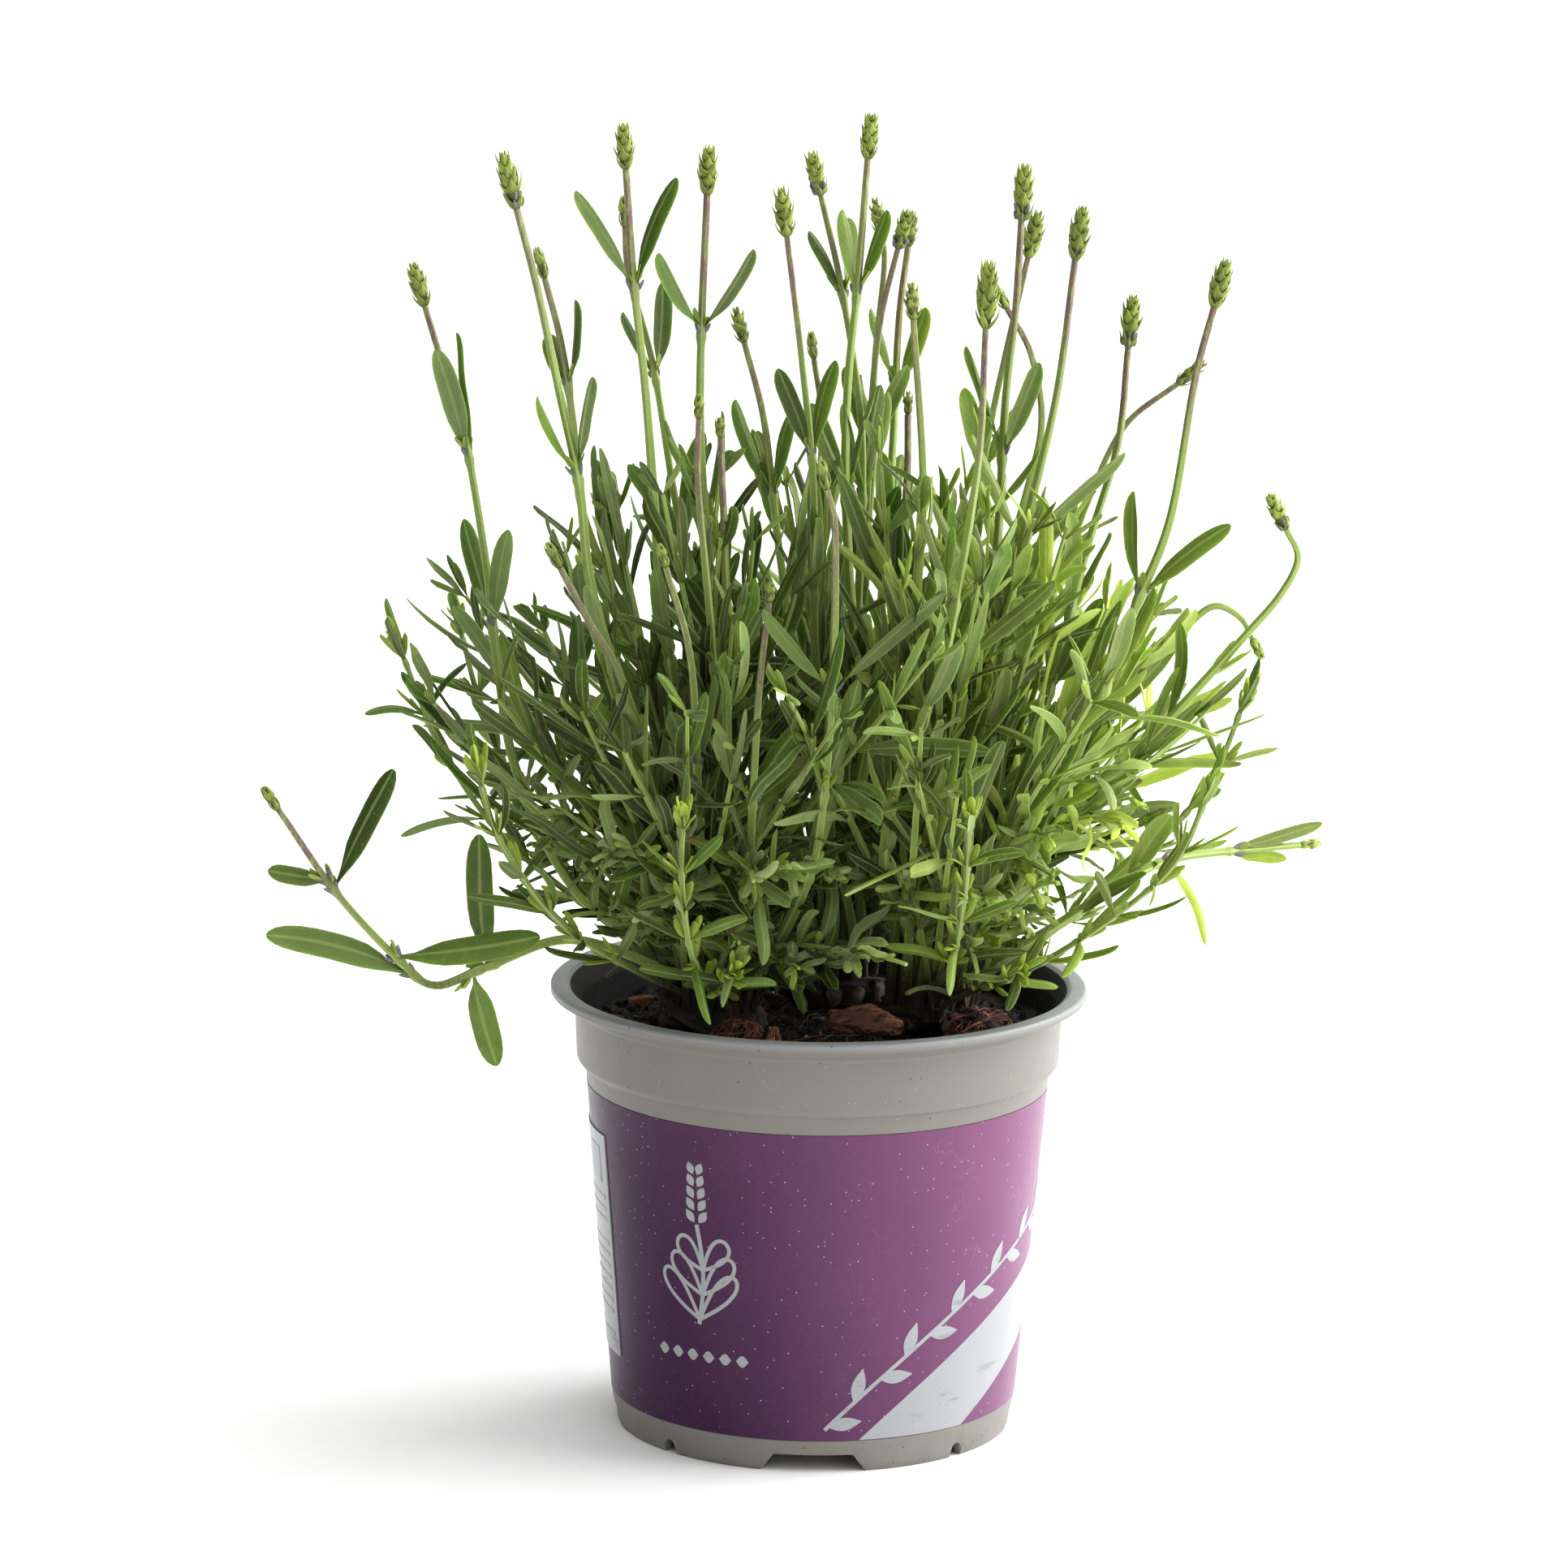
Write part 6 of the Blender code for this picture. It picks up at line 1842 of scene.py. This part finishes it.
def leafy_shoots() -> list[Stem]:
    """The shoots without flowers that have packed stems of their own."""
    return [
        leafy([(-50, -4, 24), (-76, 2, 44), (-92, 6, 66), (-103, 8, 92)], 6, 22),
        leafy([(-42, -28, 18), (-60, -48, 34), (-74, -62, 56), (-80, -68, 76)], 6, 20),
        leafy([(-26, -34, 16), (-30, -58, 30), (-32, -78, 50), (-32, -90, 70)], 6, 20),
        leafy([(30, -26, 18), (32, -54, 34), (33, -80, 54), (33, -97, 72)], 6, 20),
        leafy([(48, -22, 18), (66, -40, 34), (82, -54, 52), (90, -60, 72)], 6, 20),
        leafy([(52, 0, 20), (76, 8, 38), (94, 12, 58), (103, 14, 80)], 6, 20),
        leafy([(22, 44, 22), (42, 66, 44), (54, 82, 72), (60, 90, 96)], 6, 22),
        leafy([(4, 50, 20), (2, 74, 40), (0, 90, 68), (0, 97, 92)], 6, 22),
        leafy([(-16, 42, 22), (-36, 62, 44), (-52, 78, 72), (-60, 86, 98)], 6, 22),
        leafy([(-48, 6, 20), (-68, 22, 42), (-82, 34, 66), (-90, 40, 92)], 6, 22),
        leafy([(-24, -28, 14), (-22, -46, 20), (-20, -58, 26)], 4, 16, spread=60),
        leafy([(38, -22, 14), (44, -38, 20), (47, -50, 25)], 4, 16, spread=60),
        leafy([(-4, 22, 50), (-8, 18, 80), (-12, 14, 100)], 5, 26, spread=32, width=3.4),
        leafy([(38, 10, 40), (48, 24, 70), (54, 32, 96)], 5, 26, spread=32, width=3.4),
    ]


# ---------------------------------------------------------------- crowns and the crowd of shoots


@dataclass
class Crown:
    """The woody crown of one plant: knobs with the stubs of old stalks."""

    node: str
    seed: int
    knobs: int = 34
    stubs: int = 22

    def build(self, palette: Palette) -> None:
        """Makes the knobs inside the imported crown's box, and the stubs that stand out of them."""
        centre, half = middle_of(self.node)
        rng = np.random.default_rng(self.seed)
        radius = np.sqrt(rng.uniform(0, 0.75, self.knobs))
        angle = rng.uniform(0, TURN, self.knobs)
        spots = np.stack([half[0] * radius * np.cos(angle), half[1] * radius * np.sin(angle),
                          half[2] * (0.15 - 0.6 * radius**2)], axis=-1) + centre
        sizes = rng.uniform(1.8, 3.9, (self.knobs, 3))
        shell = Shell()
        body = lumps(centre[None] - [0, 0, 0.8], half[None] * 0.84, 22, 30, self.seed, 0.16)
        shell.add(body, (0.3, 0, 0))
        tone = tones(rng, self.knobs, 0.1, 0.9)
        shell.add(lumps(spots, sizes, 9, 12, self.seed + 1, 0.35), tone)
        t = np.linspace(0.0, 1.0, 7)[:, None]
        reach = rng.uniform(2.0, 6.0, (self.stubs, 1, 1))
        lean = rng.normal(0.0, 0.45, (self.stubs, 1, 3)) + [0, 0, 1.0]
        foot = spots[rng.integers(0, self.knobs, self.stubs)][:, None]
        paths = foot + unit(lean) * reach * t + rng.normal(0, 0.12, (self.stubs, 7, 3))
        thick = rng.uniform(0.45, 1.1, (self.stubs, 1)) * np.linspace(1.15, 0.8, 7)
        shell.add(sweep(paths, thick, 8), (0.35, 0, 0))
        place(shell.build(self.node, [palette.earth[Earth.WOOD]]), "crown_wood", self.node)


@dataclass
class Habit:
    """How one kind of shoot in the crowd grows. Pairs of numbers are least and greatest."""

    shoots: int
    pairs: int
    first: float
    length: tuple
    width: tuple
    spread: tuple
    bend: tuple
    sway: float
    felt: float
    thick: float
    tufts: float
    bright: float = 0.0


TALL = Habit(84, 5, 0.42, (22.0, 43.0), (2.3, 4.7), (12.0, 60.0), (-40.0, 46.0), 26.0, 0.30, 1.4, 9.0)
LOW = Habit(78, 9, 0.24, (9.0, 20.0), (2.2, 3.6), (25.0, 90.0), (-95.0, 85.0), 50.0, 0.9, 0.85, 6.0,
            0.4)


@dataclass
class Crowd:
    """The crowd of leafy shoots between the flower stems, made in sectors about the pot."""

    soil_top: float
    bounds: Bounds
    sectors: int = 6
    seed: int = 77
    dome: tuple = (1.0, 2.0, 97.0, 88.0)
    peak: float = 252.0
    shoulder: float = 58.0

    def roots(self, ends: Array, rng: Random) -> Array:
        """A foot on a crown for each shoot: the crown whose centre is nearest under its way out."""
        boxes = [box_of(name) for name in ("crown_left", "crown_right", "crown_back")]
        centres = np.array([[*((low + high) / 2)[:2], high[2] - 2.2] for low, high in boxes])
        away = np.linalg.norm(ends[:, None, :2] * 0.5 - centres[None, :, :2], axis=-1)
        picked = centres[np.argmin(away + rng.normal(0, 6.0, away.shape), axis=1)]
        radius = 11.0 * np.sqrt(rng.uniform(0, 1, len(ends)))
        return picked + around(radius, rng.uniform(0, TURN, len(ends)), 0.0)

    def upright(self, rng: Random) -> Array:
        """Paths that rise and lean out to a dome.

        At a share q of the dome's radius the dome is peak - shoulder q^2.2 high. Ends lie evenly over
        the disc, each at 40 to 100 % of the way from the rim to the dome.
        """
        x, y, wide, deep = self.dome
        rim, count = self.bounds.pot.height, TALL.shoots
        share = np.sqrt(rng.uniform(0.0, 1.0, count))
        angle = rng.uniform(0.0, TURN, count)
        top = self.peak - self.shoulder * share**2.2
        level = rim + (top - rim) * rng.uniform(0.40, 1.0, count) ** 0.65
        ends = np.stack([x + wide * share * np.cos(angle), y + deep * share * np.sin(angle), level],
                        axis=-1)
        feet = self.roots(ends, rng)
        first = feet + (ends - feet) * [0.16, 0.16, 0.36]
        second = feet + (ends - feet) * [0.66, 0.66, 0.70]
        return self.curve(feet, first, second, ends)

    def low(self, rng: Random) -> Array:
        """Short paths that spread from the crowns, just over the rim."""
        rim, count = self.bounds.pot.height, LOW.shoots
        angle = np.arange(count) * TURN * 0.618 + rng.normal(0.0, 0.1, count)
        radius = 22.0 + 60.0 * rng.uniform(0.0, 1.0, count) ** 0.8
        beyond = np.maximum(radius - 60.0, 0.0) * self.bounds.flare
        ends = around(radius, angle, rim + beyond + rng.uniform(3.0, 42.0, count))
        feet = self.roots(ends * 1.1, rng)
        lift = np.array([0.0, 0.0, 1.0]) * rng.uniform(2.0, 14.0, (count, 1))
        first = feet + (ends - feet) * [0.25, 0.25, 0.5] + lift * 0.9
        second = feet + (ends - feet) * [0.7, 0.7, 0.9] + lift * 0.8
        return self.curve(feet, first, second, ends)

    @staticmethod
    def curve(a: Array, b: Array, c: Array, d: Array) -> Array:
        """Cubic curves from a to d, drawn towards b and c: (1-t)^3 a + 3(1-t)^2 t b + ..."""
        t = np.linspace(0.0, 1.0, 40)[None, :, None]
        a, b, c, d = (p[:, None] for p in (a, b, c, d))
        return (1 - t) ** 3 * a + 3 * (1 - t) ** 2 * t * b + 3 * (1 - t) * t * t * c + t**3 * d

    def leaves(self, paths: Array, habit: Habit, rng: Random) -> list[Blades]:
        """Opposite leaves in crossed pairs along each path, shorter towards its tip.

        Leaves deep in the bush get painted shade: a leaf's tone rises with its distance from the
        middle of the rim, where heights count for four fifths, and painted light brightens the right.

        Args:
            paths: the stalks.
            habit: how the shoots grow.
            rng: random numbers.

        Returns:
            The long leaves, and the small ones in their axils.
        """
        count, stations = paths.shape[:2]
        share = np.linspace(habit.first, 1.0, habit.pairs)[None]
        share = share + rng.normal(0, 0.014, (count, habit.pairs))
        at = np.clip((share * (stations - 1)).astype(int), 0, stations - 1)
        rows = np.arange(count)[:, None]
        axis, x, y, base = (way[rows, at] for way in (*directions(paths), paths))
        turn = rng.uniform(0, TURN, (count, 1)) + np.arange(habit.pairs) * TURN / 4
        turn = (turn + rng.normal(0, 0.2, turn.shape))[..., None]
        out = x * np.cos(turn) + y * np.sin(turn)
        out = np.stack([out, -out], axis=2)
        axis = np.broadcast_to(axis[:, :, None], out.shape)
        base = base[:, :, None] + out * 0.4
        shape = out.shape[:3]
        fade = (1.0 - 0.60 * ease(share, 0.74, 1.0))[..., None]
        length = rng.uniform(*habit.length, shape) * fade
        width = rng.uniform(*habit.width, shape) * (0.5 + 0.5 * fade)
        spread = np.radians(rng.uniform(*habit.spread, shape) * (0.5 + 0.5 * fade))
        bend = np.radians(rng.uniform(*habit.bend, shape))
        sway = np.radians(rng.normal(0.0, habit.sway, shape))
        twist = np.radians(rng.uniform(-70, 70, shape))
        # Painted light: leaves on the right, towards the key light, turn yellower.
        side = ease(base[..., 0] + 0.3 * base[..., 1], -25.0, 85.0)
        young = rng.uniform(0.0, 1.0, (count, 1, 1)) ** 2
        youth = (0.03 + 0.40 * side + 0.40 * young * side + 0.12 * young) * rng.uniform(0.4, 1.4, shape)
        felt = habit.felt * rng.uniform(0.0, 1.0, shape) ** 1.5
        felt = np.where(rng.uniform(0, 1, shape) < 0.03, -0.9, felt)
        inside = base - np.array([0.0, 0.0, self.bounds.pot.height])
        # Painted shade towards the middle of the rim and painted light on the right side.
        lit = ease(np.linalg.norm(inside * [1.0, 1.0, 0.8], axis=-1), 20.0, 82.0)
        lit = lit * (0.64 + 0.56 * ease(base[..., 0], -62.0, 62.0))
        tone = 1.06 * rng.uniform(0.0, 1.0, shape) + habit.bright
        tone = tone * (0.35 + 0.65 * lit) - 0.17 * (1 - lit)
        tint = np.stack([tone, np.clip(youth, 0, 1), felt], axis=-1)
        tuft = unit(out + 0.9 * np.cross(axis, out) * rng.choice([-1.0, 1.0], (*shape, 1)))
        little = rng.uniform(0.4, 1.25, shape) * habit.tufts
        slim = rng.uniform(1.2, 2.2, shape)
        lean = np.radians(rng.uniform(8, 38, shape))
        fresh = np.stack([0.2 + 0.8 * tone, np.clip(youth + 0.2, 0, 1), 0.4 * felt], -1)
        return [Blades.flat(base, axis, out, length, width, spread, bend, sway, twist, tint),
                Blades.flat(base, axis, tuft, little, slim, lean, bend * 0.6, sway, twist, fresh)]

    def build(self, palette: Palette) -> None:
        """Makes the shoots and shares them out by sector."""
        rng = np.random.default_rng(self.seed)
        shells = [Shell() for _ in range(self.sectors)]

        def share_out(grid: Array, tint: Array, owner: Array, finish: int) -> None:
            """Adds each sector's own tubes to its shell."""
            for k, shell in enumerate(shells):
                shell.add(grid[owner == k], tint[owner == k], finish)

        for habit, paths in ((TALL, self.upright(rng)), (LOW, self.low(rng))):
            slim = np.linspace(habit.thick, 0.5, paths.shape[1])
            slim = slim * rng.uniform(0.75, 1.15, (len(paths), 1))
            stalks = sweep(paths, slim, 8, 0.12)
            height = paths[..., 2] - self.soil_top
            tone = np.broadcast_to(rng.uniform(0.6, 1.5, (len(paths), 1)), height.shape)
            tint = np.stack([tone, 0 * height, 1.0 - ease(height, 8.0, 30.0)], axis=-1)[:, :, None]
            whole = self.bounds.keeps(stalks[:, 12:])
            owner = np.where(whole, self.sector(paths[:, -1]), -1)
            share_out(stalks, tint, owner, STALK)
            for form, blades in zip((MID_LEAF, PLAIN_LEAF), self.leaves(paths, habit, rng)):
                grid = form.grid(blades)
                kept = self.bounds.keeps(grid) & self.bounds.open_below(grid)
                each = np.repeat(owner, len(grid) // len(paths))
                share_out(grid, blades.tint[:, None, None], np.where(kept, each, -1), LEAF)
        for k, shell in enumerate(shells):
            place(shell.build(f"leafy_crowd_{k + 1}", palette.plant), "leaf_green")

    def sector(self, points: Array) -> Array:
        """The sector, by angle about the pot's axis, that each point lies in."""
        angle = np.arctan2(points[:, 1], points[:, 0]) % TURN
        return np.minimum((angle / TURN * self.sectors).astype(int), self.sectors - 1)


# ---------------------------------------------------------------- studio


@dataclass
class Studio:
    """A white floor, soft white surroundings brighter on the right, and a broad key light there."""

    floor_half: float = 9000.0
    floor_depth: float = 20.0
    even: float = 0.84
    slope: float = 0.92
    brighter: tuple = (0.85, 0.30, 0.43)
    distance: float = 1.6
    elevation: float = 11.54
    tilt: float = 0.74
    lens: float = 152.5
    aim: tuple = (-0.009, 0.0, 0.1575)

    def lamp(self, name: str, spot: tuple, size: float, power: float) -> None:
        """Adds a square area light that faces the plant."""
        light = bpy.data.lights.new(name, "AREA")
        light.size = size
        light.energy = power
        made = bpy.data.objects.new(name, light)
        made.location = spot
        made.rotation_euler = (Vector(spot) - Vector((0, 0, 0.16))).to_track_quat("Z", "Y").to_euler()
        bpy.context.scene.collection.objects.link(made)

    def surround(self) -> None:
        """Lights the world: strength even + slope times the cosine to the brighter side."""
        world = bpy.data.worlds.new("surroundings")
        world.use_nodes = True
        g = Graph(world.node_tree)
        lit = g.node("VectorMath", g.node("TexCoord")["Generated"], self.brighter,
                     operation="DOT_PRODUCT")["Value"]
        ground = world.node_tree.nodes["Background"].inputs
        g.feed(ground["Color"], (1.0, 1.0, 1.0))
        g.feed(ground["Strength"], lit * self.slope + self.even)
        bpy.context.scene.world = world

    def build(self, palette: Palette) -> None:
        """Makes the floor, the lights and the camera."""
        h = self.floor_half
        square = np.array([(-h, -h), (h, -h), (h, h), (-h, h)])
        level = np.array([-self.floor_depth, 0.0])[:, None, None] * np.ones((2, 4, 1))
        shell = Shell()
        shell.add(np.concatenate([np.broadcast_to(square, (2, 4, 2)), level], axis=-1)[None])
        shell.build("studio_floor", [palette.floor], 20.0)
        self.surround()
        self.lamp("key", (1.45, 0.35, 1.15), 2.2, 74.0)
        bpy.context.scene.view_settings.view_transform = "Standard"
        self.add_camera()

    def add_camera(self) -> None:
        """Adds the camera, level with its right axis but for a small tilt."""
        e = math.radians(self.elevation)
        back = Vector((0.0, -math.cos(e), math.sin(e)))
        right = Vector((1.0, 0.0, 0.0))
        axes = Matrix((right, back.cross(right), back)).transposed().to_4x4()
        camera = bpy.data.cameras.new("camera")
        camera.sensor_width = 36.0
        camera.lens = self.lens
        made = bpy.data.objects.new("camera", camera)
        spot = Matrix.Translation(Vector(self.aim) + back * self.distance)
        made.matrix_world = spot @ axes @ Matrix.Rotation(math.radians(self.tilt), 4, "Z")
        bpy.context.scene.collection.objects.link(made)
        bpy.context.scene.camera = made


HEADSPACE = 10.2


def main() -> None:
    """Builds every piece in turn."""
    logging.basicConfig(level=logging.INFO, format="%(message)s")
    palette = Palette()
    pot = NurseryPot()
    pot.build(palette)
    wrap = LabelWrap(pot)
    wrap.build(palette)
    CarePanel(wrap).build(palette)
    soil_top = pot.height - HEADSPACE
    SoilBed(pot, soil_top).build(palette)
    for k, side in enumerate(("left", "right", "back")):
        Crown(f"crown_{side}", 60 + k).build(palette)
    RootTangle("root_tangle_left", 71, 1.2).build(palette)
    RootTangle("root_tangle_right", 72, 1.35).build(palette)
    BarkChip("bark_chip", (18.0, 8.6, 3.8), -18.0, 81, 6.4, 40.0).build(palette)
    BarkChip("bark_crumb", (7.0, 4.0, 2.6), 40.0, 82).build(palette)
    bounds = Bounds(pot, soil_top)
    for k, stem in enumerate(flower_stems()):
        name = f"flower_stem_{k + 1:02d}"
        Plantlet(name, with_lower_pairs(stem), soil_top, 100 + k, bounds).build(palette)
    for k, stem in enumerate(leafy_shoots()):
        Plantlet(f"leafy_shoot_{k + 1:02d}", stem, soil_top, 200 + k, bounds).build(palette)
    Crowd(soil_top, bounds).build(palette)
    Studio().build(palette)


if __name__ == "__main__":
    main()
